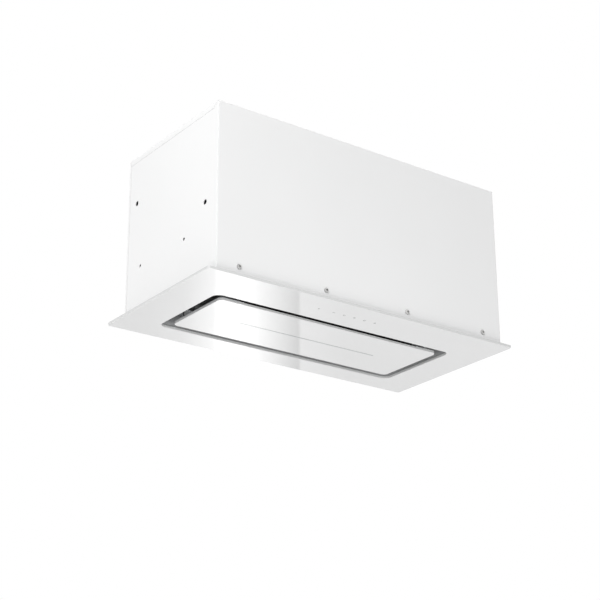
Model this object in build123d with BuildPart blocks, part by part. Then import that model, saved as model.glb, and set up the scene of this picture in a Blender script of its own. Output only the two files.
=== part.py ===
from build123d import *
import os
from math import acos, cos, degrees, hypot, radians, sin, sqrt

# Built-in range hood that hangs in a cut-out above a cooktop, in millimetres.
# X runs to the right, Y from the front (touch keys) to the back, Z up.
# The origin is the middle of the cut-out, on the plane where the rim meets the cabinet.

# Glass plate and the opening in it
plate_width = 560.0
plate_depth = 276.0
plate_radius = 4.0
glass_thickness = 4.0
glass_arris = 0.4
front_border = 74.7
opening_width = 436.0
opening_depth = 158.0
opening_radius = 13.0

# Centre panel and the suction slot round it
slot_side = 15.5
slot_front = 14.0
slot_rear = 15.5
panel_radius = 8.0
tray_inset = 12.0
tray_height = 8.0

# Casing
side_overhang = 16.5
front_overhang = 7.0
rear_overhang = 21.0
body_height = 260.0
sheet = 1.0
bend_radius = 1.6
seam = 0.3
top_flange = 8.5
back_flange = 5.3
front_mitre = 13.0
rail_leg = 14.0
rail_drop = 19.0

# Base frame and recess
base_setback = 2.0
base_flange = 18.0
base_fit = 0.2
recess_lap = 1.5
recess_height = 22.0
recess_foot = 8.0

# Fasteners
screw_radius = 2.0
screw_head_radius = 4.0
screw_head = 2.4
screw_length = 8.0
screw_clearance = 0.2
thread_clearance = 0.05
screw_round = 0.6
cross_long = 1.1
cross_short = 0.22
cross_depth = 0.55
front_screw_z = 11.5
front_screw_pitch = 150.6
small_screw_radius = 1.5
small_head_radius = 3.0
small_head = 1.8
small_screw_length = 6.0

# Holes in the sides
side_hole_radius = 2.4
side_hole_pitch = 121.0
side_hole_from_front = 146.1
side_hole_z = 74.0
hanging_hole_radius = 4.0
hanging_from_front = 31.1
hanging_front_z = 111.7
hanging_from_back = 25.6
hanging_back_z = 181.1

# Touch keys
key_from_front = 37.6
key_middle_x = -14.0
key_count = 6
key_sensor = (8.0, 6.0, 2.0)
touch_window = (124.0, 20.0)
board_thickness = 1.6
holder_wall = 3.0
holder_height = 9.0
holder_corner = 2.0

# Grease filter
filter_end_space = 59.0
filter_side_space = 17.0
filter_bottom = 12.0
filter_thickness = 11.5
filter_rail = 8.0
filter_lip = 3.0
filter_lip_thickness = 1.0
filter_clearance = 2.0
mesh_pitch = 12.0
mesh_rib = 1.6
tongue_width = 30.0
tongue_reach = 6.0
tongue_thickness = 1.3
latch_holder = (40.0, 34.0)
latch_width = 24.0
latch_depth = 16.0
latch_thickness = 3.3
latch_reach = 4.0
latch_travel = 5.0
latch_overrun = 1.0
latch_play = 0.3
knob = (12.0, 5.0, 7.0)
knob_setback = 7.5
knob_room = 3.0
knob_round = 1.2
spring_radius = 1.2
spring_wire = 0.5
spring_length = 14.0

# Light
led_length = 253.0
led_width = 3.4
led_play = 0.15
led_head_width = 7.0
led_head = 1.5
profile_width = 14.0
profile_wall = 1.5
profile_height = 7.5
groove_pitch = 4.0
groove = (1.2, 0.6)
strip_thickness = 1.0
led_count = 14
led_chip = (3.5, 2.8, 0.7)

# Panel hinge and catches
hinge_from_end = 8.5
hinge_setback = 7.2
hinge_z = 8.0
hinge_pin_radius = 2.0
hinge_running = 0.05
hinge_plate = 2.0
pin_overhang = 1.0
pin_chamfer = 0.4
knuckle_radius = 4.0
knuckle_width = 15.0
ear_thickness = 2.5
ear_play = 0.3
catch_from_end = 9.5
catch_from_front = 8.0
magnet_radius = 6.0
magnet_height = 3.0
magnet_post_margin = 1.0
catch_gap = 0.3
strike_height = 1.2
strike_margin = 1.5
strike_post = (10.0, 8.0)

# Outlet spigot and back-draught flaps
spigot_from_back = 89.0
spigot_radius = 74.5
spigot_wall = 2.0
spigot_height = 45.0
spigot_flange_width = 7.5
spigot_plate = 2.5
spigot_screw_offset = 4.0
flap_z = 22.0
flap_play = 0.7
flap_thickness = 1.2
flap_pivot = 4.0
flap_barrel_radius = 2.2
flap_pin_radius = 1.5
flap_running = 0.05
flap_seat_gap = 0.3
flap_rib = (2.0, 2.5)
ledge_width = 3.0
ledge_thickness = 2.6
bar_thickness = 3.0
bar_sink = 0.2

# Blower
scroll_axis_drop = 112.0
scroll_radius = 71.0
scroll_growth = 11.0
scroll_tongue = 15.0
scroll_wall = 2.0
scroll_setback = 0.5
scroll_rim = 4.0
scroll_flange = 8.0
inlet_lap = 8.0
inlet_collar = 6.0
wheel_gap = 3.0
wheel_end_gap = 13.0
wheel_ring = 12.0
wheel_plate = 2.0
blade_count = 36
blade_thickness = 1.0
blade_angle = 35.0
hub_radius = 10.0
hub_length = 16.0
nut_radius = 8.0
nut_height = 5.0
shaft_radius = 4.0
shaft_running = 0.05
shaft_hole_play = 0.6
shaft_stub = 2.0
shaft_reach = 3.0
shaft_chamfer = 0.5
can_gap = 12.0
can_wall = 3.0
can_length = 62.0
bearing_radius = 11.0
bearing_width = 7.0
bearing_seat = 3.0
rotor_radius = 24.0
air_gap = 0.6
stack_length = 34.0
stack_clearance = 2.0
grommet_radius = 5.5
grommet_height = 4.0
mount_offset = 6.0
boss_radius = 22.0
boss_play = 2.0
arm_width = 12.0
arm_thickness = 2.0

# Electrical pieces
gland_from_side = 62.5
gland_from_back = 46.0
gland_bore = 4.5
gland_thread_radius = 8.0
gland_sleeve = 9.0
gland_hex_radius = 12.0
gland_hex = 5.0
gland_cap_radius = 10.0
gland_cap = 7.0
gland_round = 2.5
gland_nut_height = 4.0
terminal_box_size = (80.0, 60.0, 34.0)
terminal_block_size = (42.0, 18.0, 13.0)
terminal_pitch = 10.0
terminal_hole = (2.2, 5.0)
box_wall = 2.0
control_box_size = (120.0, 40.0, 90.0)
control_box_from_side = 82.5
control_box_z = 60.0
control_post = (6.0, 5.0, 6.0)
board_margin = 3.0
relay = (30.0, 22.0, 22.0)
relay_places = ((-30.0, 14.0), (20.0, 50.0))
board_capacitor = (10.0, 16.0, 20.0)
board_capacitor_place = (12.0, 10.0)
board_capacitor_pitch = 14.0
driver_size = (100.0, 24.0, 30.0)
driver_from_side = 82.5
driver_z = 60.0
driver_ear = (12.0, 3.0, 16.0)
capacitor_radius = 14.0
capacitor_length = 55.0
capacitor_round = 1.5
capacitor_from_side = 124.5
capacitor_from_front = 70.0
clip_wall = 1.2
clip_width = 14.0
clip_foot = 12.0

# Worked out from the sizes above
half_plate = plate_depth / 2
opening_front = -half_plate + front_border
opening_y = opening_front + opening_depth / 2
panel_width = opening_width - 2 * slot_side
panel_depth = opening_depth - slot_front - slot_rear
panel_front = opening_front + slot_front
panel_y = panel_front + panel_depth / 2
panel_rear = panel_front + panel_depth
glass_top = -sheet
glass_bottom = glass_top - glass_thickness
tray_width = panel_width - 2 * tray_inset
tray_depth = panel_depth - 2 * tray_inset
tray_front = panel_y - tray_depth / 2
tray_rear = panel_y + tray_depth / 2
body_half = plate_width / 2 - side_overhang
body_front = -half_plate + front_overhang
body_back = half_plate - rear_overhang
inner_half = body_half - sheet
inner_front = body_front + sheet
inner_back = body_back - sheet
wall_top = body_height - top_flange
ceiling = recess_height - sheet
roof = body_height - sheet
recess_width = opening_width + 2 * recess_lap
recess_depth = opening_depth + 2 * recess_lap
filter_width = opening_width - 2 * filter_end_space
filter_depth = opening_depth - 2 * filter_side_space
filter_top = filter_bottom + filter_thickness
filter_front = opening_y - filter_depth / 2
filter_rear = opening_y + filter_depth / 2
hole_width = filter_width + 2 * filter_clearance
hole_depth = filter_depth + 2 * filter_clearance
hole_front = opening_y - hole_depth / 2
key_y = -half_plate + key_from_front
side_hole_y = body_front + side_hole_from_front
hinge_x = tray_width / 2 - hinge_from_end
hinge_y = panel_rear - hinge_setback
catch_x = tray_width / 2 - catch_from_end
catch_y = tray_front + catch_from_front
spigot_y = body_back - spigot_from_back
spigot_flange_radius = spigot_radius + spigot_flange_width
spigot_screw_radius = spigot_radius + spigot_screw_offset
bore_radius = spigot_radius - spigot_wall
flap_height = body_height + flap_z
scroll_half_width = spigot_radius - scroll_setback
scroll_inner = scroll_half_width - scroll_wall
scroll_radius_1 = scroll_radius + scroll_growth
scroll_radius_2 = scroll_radius_1 + scroll_growth
scroll_radius_3 = scroll_radius_2 + scroll_growth
scroll_back = scroll_growth / 2 + scroll_radius_3
axis_y = spigot_y - (scroll_tongue + scroll_back) / 2
axis_z = body_height - scroll_axis_drop
wheel_radius = scroll_radius - wheel_gap
wheel_half_width = scroll_half_width - wheel_end_gap
inlet_radius = wheel_radius - inlet_lap
mount_circle = inlet_radius + mount_offset
can_radius = wheel_radius - wheel_ring - can_gap
cap_face = -scroll_half_width
can_open = cap_face + can_wall
can_end = can_open + can_length - can_wall
gland_place = (-inner_half + gland_from_side, inner_back - gland_from_back)
low = (Align.CENTER, Align.CENTER, Align.MIN)
high = (Align.CENTER, Align.CENTER, Align.MAX)
parts = {}


def across(x):
    """Plane square to the blower's axis at x, centred on the axis."""
    return Plane(origin=(x, axis_y, axis_z), x_dir=(0, 1, 0), z_dir=(1, 0, 0))


# ------------------------------------------------------------------ glass plate
with BuildPart() as glass_plate:
    with BuildSketch(Plane.XY.offset(glass_bottom)):
        RectangleRounded(plate_width, plate_depth, plate_radius)
        with Locations((0, opening_y)):
            RectangleRounded(opening_width, opening_depth, opening_radius, mode=Mode.SUBTRACT)
    extrude(amount=glass_thickness)
    chamfer(glass_plate.faces().sort_by(Axis.Z)[0].edges(), glass_arris)
parts["glass_plate"] = glass_plate

# ------------------------------------------------------------------- base frame
front_screw_xs = [(i - 1.5) * front_screw_pitch for i in range(4)]

with BuildPart() as base_frame:
    with BuildSketch(Plane.XY.offset(glass_top)):
        RectangleRounded(plate_width - 2 * base_setback, plate_depth - 2 * base_setback, plate_radius)
        with Locations((0, opening_y)):
            RectangleRounded(recess_width, recess_depth, opening_radius + recess_lap, mode=Mode.SUBTRACT)
        with Locations((key_middle_x, key_y)):
            Rectangle(*touch_window, mode=Mode.SUBTRACT)
    extrude(amount=sheet)
    ring_width = 2 * (inner_half - base_fit)
    ring_depth = inner_back - inner_front - 2 * base_fit
    with BuildSketch(Plane.XY):
        with Locations((0, (inner_front + inner_back) / 2)):
            Rectangle(ring_width, ring_depth)
            Rectangle(ring_width - 2 * sheet, ring_depth - 2 * sheet, mode=Mode.SUBTRACT)
    extrude(amount=base_flange)
    with BuildSketch(Plane.XZ):
        with Locations(*[(x, front_screw_z) for x in front_screw_xs]):
            Circle(screw_radius + thread_clearance)
    extrude(amount=plate_depth, both=True, mode=Mode.SUBTRACT)
parts["base_frame"] = base_frame

# -------------------------------------------------------------- recess of sheet
with BuildPart() as suction_recess:
    outer_radius = opening_radius + recess_lap + sheet
    with BuildSketch(Plane.XY):
        with Locations((0, opening_y)):
            RectangleRounded(recess_width + 2 * recess_foot, recess_depth + 2 * recess_foot,
                             outer_radius + recess_foot)
    extrude(amount=sheet)
    with BuildSketch(Plane.XY):
        with Locations((0, opening_y)):
            RectangleRounded(recess_width + 2 * sheet, recess_depth + 2 * sheet, outer_radius)
    extrude(amount=recess_height)
    with BuildSketch(Plane.XY):
        with Locations((0, opening_y)):
            RectangleRounded(recess_width, recess_depth, outer_radius - sheet)
    extrude(amount=ceiling, mode=Mode.SUBTRACT)
    with BuildSketch(Plane.XY.offset(ceiling)):
        with Locations((0, opening_y)):
            Rectangle(hole_width, hole_depth)
    extrude(amount=sheet, mode=Mode.SUBTRACT)
parts["suction_recess"] = suction_recess

# ----------------------------------------------------- casing: front with sides
front_slope = top_flange / front_mitre
back_slope = top_flange / back_flange

with BuildPart() as front_wrap:
    wrap_back = body_back - back_flange
    wrap_depth = wrap_back - body_front
    with BuildSketch(Plane.XY):
        with Locations((0, body_front)):
            Rectangle(2 * body_half, wrap_depth, align=(Align.CENTER, Align.MIN))
        with Locations((0, inner_front)):
            Rectangle(2 * inner_half, wrap_depth, align=(Align.CENTER, Align.MIN), mode=Mode.SUBTRACT)
    extrude(amount=body_height)
    uprights = front_wrap.edges().filter_by(Axis.Z)
    fillet(uprights.group_by(Axis.Y)[0], bend_radius)
    fillet(front_wrap.edges().filter_by(Axis.Z).filter_by_position(
        Axis.Y, inner_front - 0.01, inner_front + 0.01), bend_radius - sheet)
    for side in (-1, 1):
        with BuildSketch(Plane.YZ.offset(side * inner_half)):
            with BuildLine():
                Polyline((body_front, body_height), (body_front + front_mitre, wall_top),
                         (body_back, wall_top), (body_back, body_height + sheet),
                         (body_front, body_height + sheet), close=True)
            make_face()
        extrude(amount=side * 2 * sheet, mode=Mode.SUBTRACT)
    with BuildSketch(Plane.YZ):
        with Locations((body_front + hanging_from_front, hanging_front_z),
                       (body_back - hanging_from_back, hanging_back_z)):
            Circle(hanging_hole_radius)
        with Locations((side_hole_y - side_hole_pitch / 2, side_hole_z),
                       (side_hole_y + side_hole_pitch / 2, side_hole_z)):
            Circle(side_hole_radius)
    extrude(amount=plate_width, both=True, mode=Mode.SUBTRACT)
    with BuildSketch(Plane.XZ.offset(-body_front)):
        with Locations(*[(x, front_screw_z) for x in front_screw_xs]):
            Circle(screw_radius + screw_clearance)
    extrude(amount=-2 * sheet, mode=Mode.SUBTRACT)
parts["front_wrap"] = front_wrap

# ------------------------------------------------------------ casing: back panel
with BuildPart() as back_panel:
    flange_front = body_back - back_flange + seam
    with BuildSketch(Plane.XY):
        with Locations((0, body_back)):
            Rectangle(2 * body_half, body_back - flange_front, align=(Align.CENTER, Align.MAX))
        with Locations((0, inner_back)):
            Rectangle(2 * inner_half, body_back - flange_front, align=(Align.CENTER, Align.MAX),
                      mode=Mode.SUBTRACT)
    extrude(amount=body_height)
    fillet(back_panel.edges().filter_by(Axis.Z).group_by(Axis.Y)[-1], bend_radius)
    for side in (-1, 1):
        with BuildSketch(Plane.YZ.offset(side * inner_half)):
            with BuildLine():
                Polyline((body_back, body_height), (flange_front, wall_top + seam * back_slope),
                         (flange_front, body_height), close=True)
            make_face()
        extrude(amount=side * 2 * sheet, mode=Mode.SUBTRACT)
    with BuildSketch(Plane.XZ.offset(-body_back)):
        with Locations(*[(x, front_screw_z) for x in front_screw_xs]):
            Circle(screw_radius + screw_clearance)
    extrude(amount=2 * sheet, mode=Mode.SUBTRACT)
parts["back_panel"] = back_panel

# ------------------------------------------------------------- casing: top panel
scroll_flange_half = scroll_half_width + scroll_flange
scroll_flange_front = axis_y + scroll_tongue - scroll_wall - scroll_flange
scroll_flange_back = axis_y + scroll_back + scroll_wall + scroll_flange
scroll_screw_places = [
    (x * (scroll_flange_half - scroll_flange / 2), y)
    for x in (-1, 1)
    for y in (scroll_flange_front + scroll_flange / 2, scroll_flange_back - scroll_flange / 2)
]

with BuildPart() as top_panel:
    top_front = inner_front + bend_radius - sheet
    top_back = inner_back - seam
    with BuildSketch(Plane.XY.offset(roof)):
        with Locations((0, top_front)):
            Rectangle(2 * body_half, top_back - top_front, align=(Align.CENTER, Align.MIN))
    extrude(amount=sheet)
    front_shift = seam * hypot(front_mitre, top_flange) / top_flange
    back_shift = seam * hypot(back_flange, top_flange) / top_flange
    front_drop = (top_front - body_front - front_shift) * front_slope
    back_drop = (body_back - back_shift - top_back) * back_slope
    for side in (-1, 1):
        with BuildSketch(Plane.YZ.offset(side * inner_half)):
            with BuildLine():
                Polyline(
                    (top_front, body_height),
                    (top_front, body_height - front_drop),
                    (body_front + front_shift + front_mitre - seam / front_slope, wall_top + seam),
                    (body_back - back_shift - back_flange + seam / back_slope, wall_top + seam),
                    (top_back, body_height - back_drop),
                    (top_back, body_height),
                    close=True)
            make_face()
        extrude(amount=side * sheet)
    with BuildSketch(Plane.XY.offset(roof)):
        with Locations((0, spigot_y)):
            Circle(bore_radius)
            with PolarLocations(spigot_screw_radius, 4):
                Circle(small_screw_radius + thread_clearance)
        with Locations(*scroll_screw_places):
            Circle(screw_radius + screw_clearance)
        with Locations(gland_place):
            Circle(gland_thread_radius + screw_clearance)
    extrude(amount=sheet, mode=Mode.SUBTRACT)
parts["top_panel"] = top_panel

# ----------------------------------------------------- stiffeners behind the seams
with BuildPart() as top_rails:
    rail_front = inner_front + bend_radius
    rail_back = inner_back - rail_leg - back_flange
    rail_x = inner_half
    for side in (-1, 1):
        with BuildSketch(Plane.XZ.offset(-rail_front)):
            with BuildLine():
                Polyline((side * rail_x, roof), (side * rail_x, roof - rail_drop),
                         (side * (rail_x - sheet), roof - rail_drop), (side * (rail_x - sheet), roof - sheet),
                         (side * (rail_x - rail_leg), roof - sheet), (side * (rail_x - rail_leg), roof),
                         close=True)
            make_face()
        extrude(amount=-(rail_back - rail_front))
parts["top_rails"] = top_rails

with BuildPart() as rear_posts:
    for side in (-1, 1):
        with BuildSketch(Plane.XY.offset(base_flange + seam)):
            with BuildLine():
                Polyline((side * rail_x, inner_back), (side * (rail_x - rail_leg), inner_back),
                         (side * (rail_x - rail_leg), inner_back - sheet),
                         (side * (rail_x - sheet), inner_back - sheet),
                         (side * (rail_x - sheet), inner_back - rail_leg),
                         (side * rail_x, inner_back - rail_leg), close=True)
            make_face()
            fillet([v for v in vertices() if abs(v.X) > rail_x - 0.1 and v.Y > inner_back - 0.1],
                   bend_radius - sheet)
        extrude(amount=roof - base_flange - 2 * seam)
parts["rear_posts"] = rear_posts


# ----------------------------------------------------------------------- screws
def pan_screw(shank_radius, head_radius, head_height, length):
    """Pan-head screw along +Z, its head's underside at z = 0."""
    with BuildPart() as screw:
        Cylinder(head_radius, head_height, align=low)
        fillet(screw.edges().sort_by(Axis.Z)[-1], head_height * screw_round)
        Cylinder(shank_radius, length, align=high)
        with BuildSketch(Plane.XY.offset(head_height)):
            Rectangle(head_radius * cross_long, head_radius * cross_short)
            Rectangle(head_radius * cross_short, head_radius * cross_long)
        extrude(amount=-head_height * cross_depth, mode=Mode.SUBTRACT)
    return screw.part


frame_screw = pan_screw(screw_radius, screw_head_radius, screw_head, screw_length)
small_screw = pan_screw(small_screw_radius, small_head_radius, small_head, small_screw_length)

with BuildPart() as front_screws:
    with Locations(*[Location((x, body_front, front_screw_z), (90, 0, 0)) for x in front_screw_xs]):
        add(frame_screw)
parts["front_screws"] = front_screws

with BuildPart() as rear_screws:
    with Locations(*[Location((x, body_back, front_screw_z), (-90, 0, 0)) for x in front_screw_xs]):
        add(frame_screw)
parts["rear_screws"] = rear_screws

with BuildPart() as scroll_screws:
    with Locations(*[Location((x, y, body_height)) for x, y in scroll_screw_places]):
        add(frame_screw)
parts["scroll_screws"] = scroll_screws

with BuildPart() as spigot_screws:
    with Locations((0, spigot_y, body_height + spigot_plate)):
        with PolarLocations(spigot_screw_radius, 4):
            add(small_screw)
parts["spigot_screws"] = spigot_screws

# ------------------------------------------------------------------- touch keys
with BuildPart() as touch_holder:
    with Locations((key_middle_x, key_y, 0)):
        Box(touch_window[0] + 2 * holder_wall, touch_window[1] + 2 * holder_wall, holder_height, align=low)
        Box(touch_window[0], touch_window[1], holder_height - sheet, align=low, mode=Mode.SUBTRACT)
    fillet(touch_holder.edges().filter_by(Axis.Z).group_by(SortBy.LENGTH)[-1], holder_corner)
parts["touch_holder"] = touch_holder

with BuildPart() as touch_board:
    with Locations((key_middle_x, key_y, glass_top)):
        Box(touch_window[0] - seam, touch_window[1] - seam, board_thickness, align=low)
    with Locations((key_middle_x, key_y, glass_top + board_thickness)):
        with GridLocations(touch_window[0] / key_count, 0, key_count, 1):
            Box(*key_sensor, align=low)
parts["touch_board"] = touch_board

# ---------------------------------------------------------------- grease filter
holder_width, holder_depth = latch_holder
holder_y = filter_front + holder_depth / 2
latch_bottom = filter_top - latch_thickness - latch_play
latch_slot = latch_width + 2 * latch_play
latch_back = filter_front + latch_depth
slot_back = latch_back + latch_travel + latch_overrun
knob_width, knob_depth, knob_height = knob
knob_y = filter_front + knob_setback

with BuildPart() as filter_frame:
    with Locations((0, opening_y, filter_bottom)):
        Box(filter_width, filter_depth, filter_thickness, align=low)
        Box(filter_width - 2 * (filter_rail + filter_lip), filter_depth - 2 * (filter_rail + filter_lip),
            filter_thickness, align=low, mode=Mode.SUBTRACT)
    with Locations((0, opening_y, filter_bottom + filter_lip_thickness)):
        Box(filter_width - 2 * filter_rail, filter_depth - 2 * filter_rail,
            filter_thickness - 2 * filter_lip_thickness, align=low, mode=Mode.SUBTRACT)
    with Locations((0, holder_y, filter_bottom)):
        Box(holder_width, holder_depth, filter_thickness, align=low)
    with Locations((0, filter_front, latch_bottom)):
        Box(latch_slot, 2 * (slot_back - filter_front), filter_thickness, align=low, mode=Mode.SUBTRACT)
    with Locations((0, slot_back, latch_bottom)):
        Box(2 * (spring_radius + latch_play), 2 * (latch_back + spring_length - slot_back),
            filter_thickness, align=low, mode=Mode.SUBTRACT)
    with Locations((0, knob_y + (knob_depth + latch_travel) / 2, filter_bottom)):
        Box(knob_width + 2 * knob_room, knob_depth + latch_travel + knob_room, filter_thickness,
            align=low, mode=Mode.SUBTRACT)
    tongue_back = opening_y + hole_depth / 2 + tongue_reach
    with Locations(*[(x * filter_width / 4, tongue_back, filter_top) for x in (-1, 1)]):
        Box(tongue_width, tongue_back - filter_rear + filter_rail, tongue_thickness,
            align=(Align.CENTER, Align.MAX, Align.MAX))
parts["filter_frame"] = filter_frame

with BuildPart() as filter_mesh:
    mesh_width = filter_width - 2 * filter_rail - 2 * base_fit
    mesh_depth = filter_depth - 2 * filter_rail - 2 * base_fit
    mesh_height = filter_thickness - 2 * filter_lip_thickness - 2 * base_fit
    cells_x = int(mesh_width // mesh_pitch)
    cells_y = int(mesh_depth // mesh_pitch)
    with BuildSketch(Plane.XY.offset(filter_bottom + filter_lip_thickness + base_fit)):
        with Locations((0, opening_y)):
            Rectangle(mesh_width, mesh_depth)
            with GridLocations(mesh_pitch, mesh_pitch, cells_x, cells_y):
                Rectangle(mesh_pitch - mesh_rib, mesh_pitch - mesh_rib, mode=Mode.SUBTRACT)
        with Locations((0, holder_y)):
            Rectangle(holder_width + 2 * base_fit, holder_depth + 2 * base_fit, mode=Mode.SUBTRACT)
    extrude(amount=mesh_height)
parts["filter_mesh"] = filter_mesh

with BuildPart() as filter_latch:
    latch_top = filter_top - latch_play / 3
    bolt_tip = hole_front - latch_reach
    latch_floor = latch_top - latch_thickness
    bolt_floor = recess_height + latch_play
    with Locations((0, latch_back, latch_floor)):
        Box(latch_width, latch_back - filter_front, latch_thickness,
            align=(Align.CENTER, Align.MAX, Align.MIN))
    with Locations((0, latch_back, bolt_floor)):
        Box(latch_width, latch_back - bolt_tip, latch_top - bolt_floor,
            align=(Align.CENTER, Align.MAX, Align.MIN))
    with Locations((0, knob_y + knob_depth / 2, latch_floor)):
        Box(knob_width, knob_depth, knob_height, align=high)
    fillet(filter_latch.edges().filter_by(Axis.X).group_by(Axis.Z)[0], knob_round)
parts["filter_latch"] = filter_latch

with BuildPart() as latch_spring:
    with BuildSketch(Plane.XZ.offset(-latch_back)):
        with Locations((0, latch_bottom + spring_radius + latch_play)):
            Circle(spring_radius)
            Circle(spring_radius - spring_wire, mode=Mode.SUBTRACT)
    extrude(amount=-spring_length)
parts["latch_spring"] = latch_spring

# ------------------------------------------------------------------ centre panel
with BuildPart() as panel_glass:
    with BuildSketch(Plane.XY.offset(glass_bottom)):
        with Locations((0, panel_y)):
            RectangleRounded(panel_width, panel_depth, panel_radius)
            Rectangle(led_length + 2 * led_play, led_width + 2 * led_play, mode=Mode.SUBTRACT)
    extrude(amount=glass_thickness)
    chamfer(panel_glass.faces().sort_by(Axis.Z)[0].outer_wire().edges(), glass_arris)
parts["panel_glass"] = panel_glass

with BuildPart() as panel_tray:
    with Locations((0, panel_y, glass_top)):
        Box(tray_width, tray_depth, tray_height - glass_top, align=low)
    fillet(panel_tray.edges().filter_by(Axis.Z), panel_radius / 2)
    with Locations((0, panel_y, 0)):
        Box(tray_width - 2 * sheet, tray_depth - 2 * sheet, tray_height, align=low, mode=Mode.SUBTRACT)
    with Locations((0, panel_y, glass_top)):
        Box(led_length + led_head_width, led_head_width + 2 * led_play, sheet, align=low, mode=Mode.SUBTRACT)
parts["panel_tray"] = panel_tray

with BuildPart() as led_diffuser:
    with Locations((0, panel_y, glass_bottom)):
        Box(led_length, led_width, glass_thickness, align=low)
    with Locations((0, panel_y, glass_top)):
        Box(led_length + led_head_width - 2 * led_play, led_head_width, led_head, align=low)
parts["led_diffuser"] = led_diffuser

with BuildPart() as led_profile:
    profile_length = led_length + 2 * led_head_width
    with Locations((0, panel_y, 0)):
        Box(profile_length, profile_width, profile_height, align=low)
        Box(profile_length, profile_width - 2 * profile_wall, profile_height - profile_wall, align=low,
            mode=Mode.SUBTRACT)
    with Locations((0, panel_y, profile_height)):
        with GridLocations(0, groove_pitch, 1, 3):
            Box(profile_length, *groove, align=high, mode=Mode.SUBTRACT)
parts["led_profile"] = led_profile

with BuildPart() as led_strip:
    strip_top = profile_height - profile_wall
    with Locations((0, panel_y, strip_top)):
        Box(led_length, profile_width - 2 * profile_wall - 2 * seam, strip_thickness, align=high)
    with Locations((0, panel_y, strip_top - strip_thickness)):
        with GridLocations(led_length / led_count, 0, led_count, 1):
            Box(*led_chip, align=high)
parts["led_strip"] = led_strip

# ---------------------------------------------------------- panel hinge, catches
ear_gap = knuckle_width / 2 + ear_play

with BuildPart() as hinge_brackets:
    for side in (-1, 1):
        for face in (-ear_gap - ear_thickness, ear_gap):
            with BuildSketch(Plane.YZ.offset(side * hinge_x + face)):
                with Locations((hinge_y, hinge_z)):
                    Circle(knuckle_radius)
                    Rectangle(2 * knuckle_radius, ceiling - hinge_z, align=(Align.CENTER, Align.MIN))
                    Circle(hinge_pin_radius, mode=Mode.SUBTRACT)
            extrude(amount=ear_thickness)
        with Locations((side * hinge_x, hinge_y, ceiling)):
            Box(2 * (ear_gap + ear_thickness), 3 * knuckle_radius, hinge_plate, align=high)
parts["hinge_brackets"] = hinge_brackets

with BuildPart() as hinge_pins:
    for side in (-1, 1):
        pin_length = 2 * (ear_gap + ear_thickness + pin_overhang)
        with BuildSketch(Plane.YZ.offset(side * hinge_x - pin_length / 2)):
            with Locations((hinge_y, hinge_z)):
                Circle(hinge_pin_radius)
        extrude(amount=pin_length)
    chamfer(hinge_pins.edges().filter_by(GeomType.CIRCLE), pin_chamfer)
parts["hinge_pins"] = hinge_pins

with BuildPart() as panel_hinge_leaves:
    for side in (-1, 1):
        with BuildSketch(Plane.YZ.offset(side * hinge_x - knuckle_width / 2)):
            with Locations((hinge_y, hinge_z)):
                Circle(knuckle_radius)
            with Locations((tray_rear, hinge_z)):
                Rectangle(hinge_y - tray_rear, 2 * knuckle_radius,
                          align=(Align.MIN, Align.MAX))
            with Locations((hinge_y, hinge_z)):
                Circle(hinge_pin_radius + hinge_running, mode=Mode.SUBTRACT)
        extrude(amount=knuckle_width)
parts["panel_hinge_leaves"] = panel_hinge_leaves

strike_top = tray_height + strike_height
magnet_bottom = strike_top + catch_gap
catch_places = [(side * catch_x, catch_y) for side in (-1, 1)]

with BuildPart() as panel_strikes:
    with Locations(*[(x, y, 0) for x, y in catch_places]):
        Box(*strike_post, tray_height, align=low)
    with Locations(*[(x, y, tray_height) for x, y in catch_places]):
        Box(2 * (magnet_radius + strike_margin), 2 * magnet_radius, strike_height, align=low)
parts["panel_strikes"] = panel_strikes

with BuildPart() as magnets:
    with Locations(*[(x, y, magnet_bottom) for x, y in catch_places]):
        Cylinder(magnet_radius, magnet_height, align=low)
parts["magnets"] = magnets

with BuildPart() as magnet_posts:
    with Locations(*[(x, y, magnet_bottom + magnet_height) for x, y in catch_places]):
        Cylinder(magnet_radius + magnet_post_margin, ceiling - magnet_bottom - magnet_height, align=low)
parts["magnet_posts"] = magnet_posts


# ----------------------------------------------------------------- blower scroll
def scroll_outline(wall):
    """Volute of four quarter arcs round a small square, open upwards, wall outside the air space."""
    step = scroll_growth / 2
    start = degrees(acos((scroll_tongue - wall + step) / (scroll_radius + wall)))
    rim = roof - axis_z
    front = scroll_tongue - wall
    back = scroll_back + wall
    tongue = (front, step + (scroll_radius + wall) * sin(radians(start)))
    with BuildSketch() as outline:
        with BuildLine():
            CenterArc((-step, step), scroll_radius + wall, start, 90 - start)
            CenterArc((-step, -step), scroll_radius_1 + wall, 90, 90)
            CenterArc((step, -step), scroll_radius_2 + wall, 180, 90)
            CenterArc((step, step), scroll_radius_3 + wall, 270, 90)
            Polyline((back, step), (back, rim), (front, rim), tongue)
        make_face()
    return outline.sketch


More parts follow.
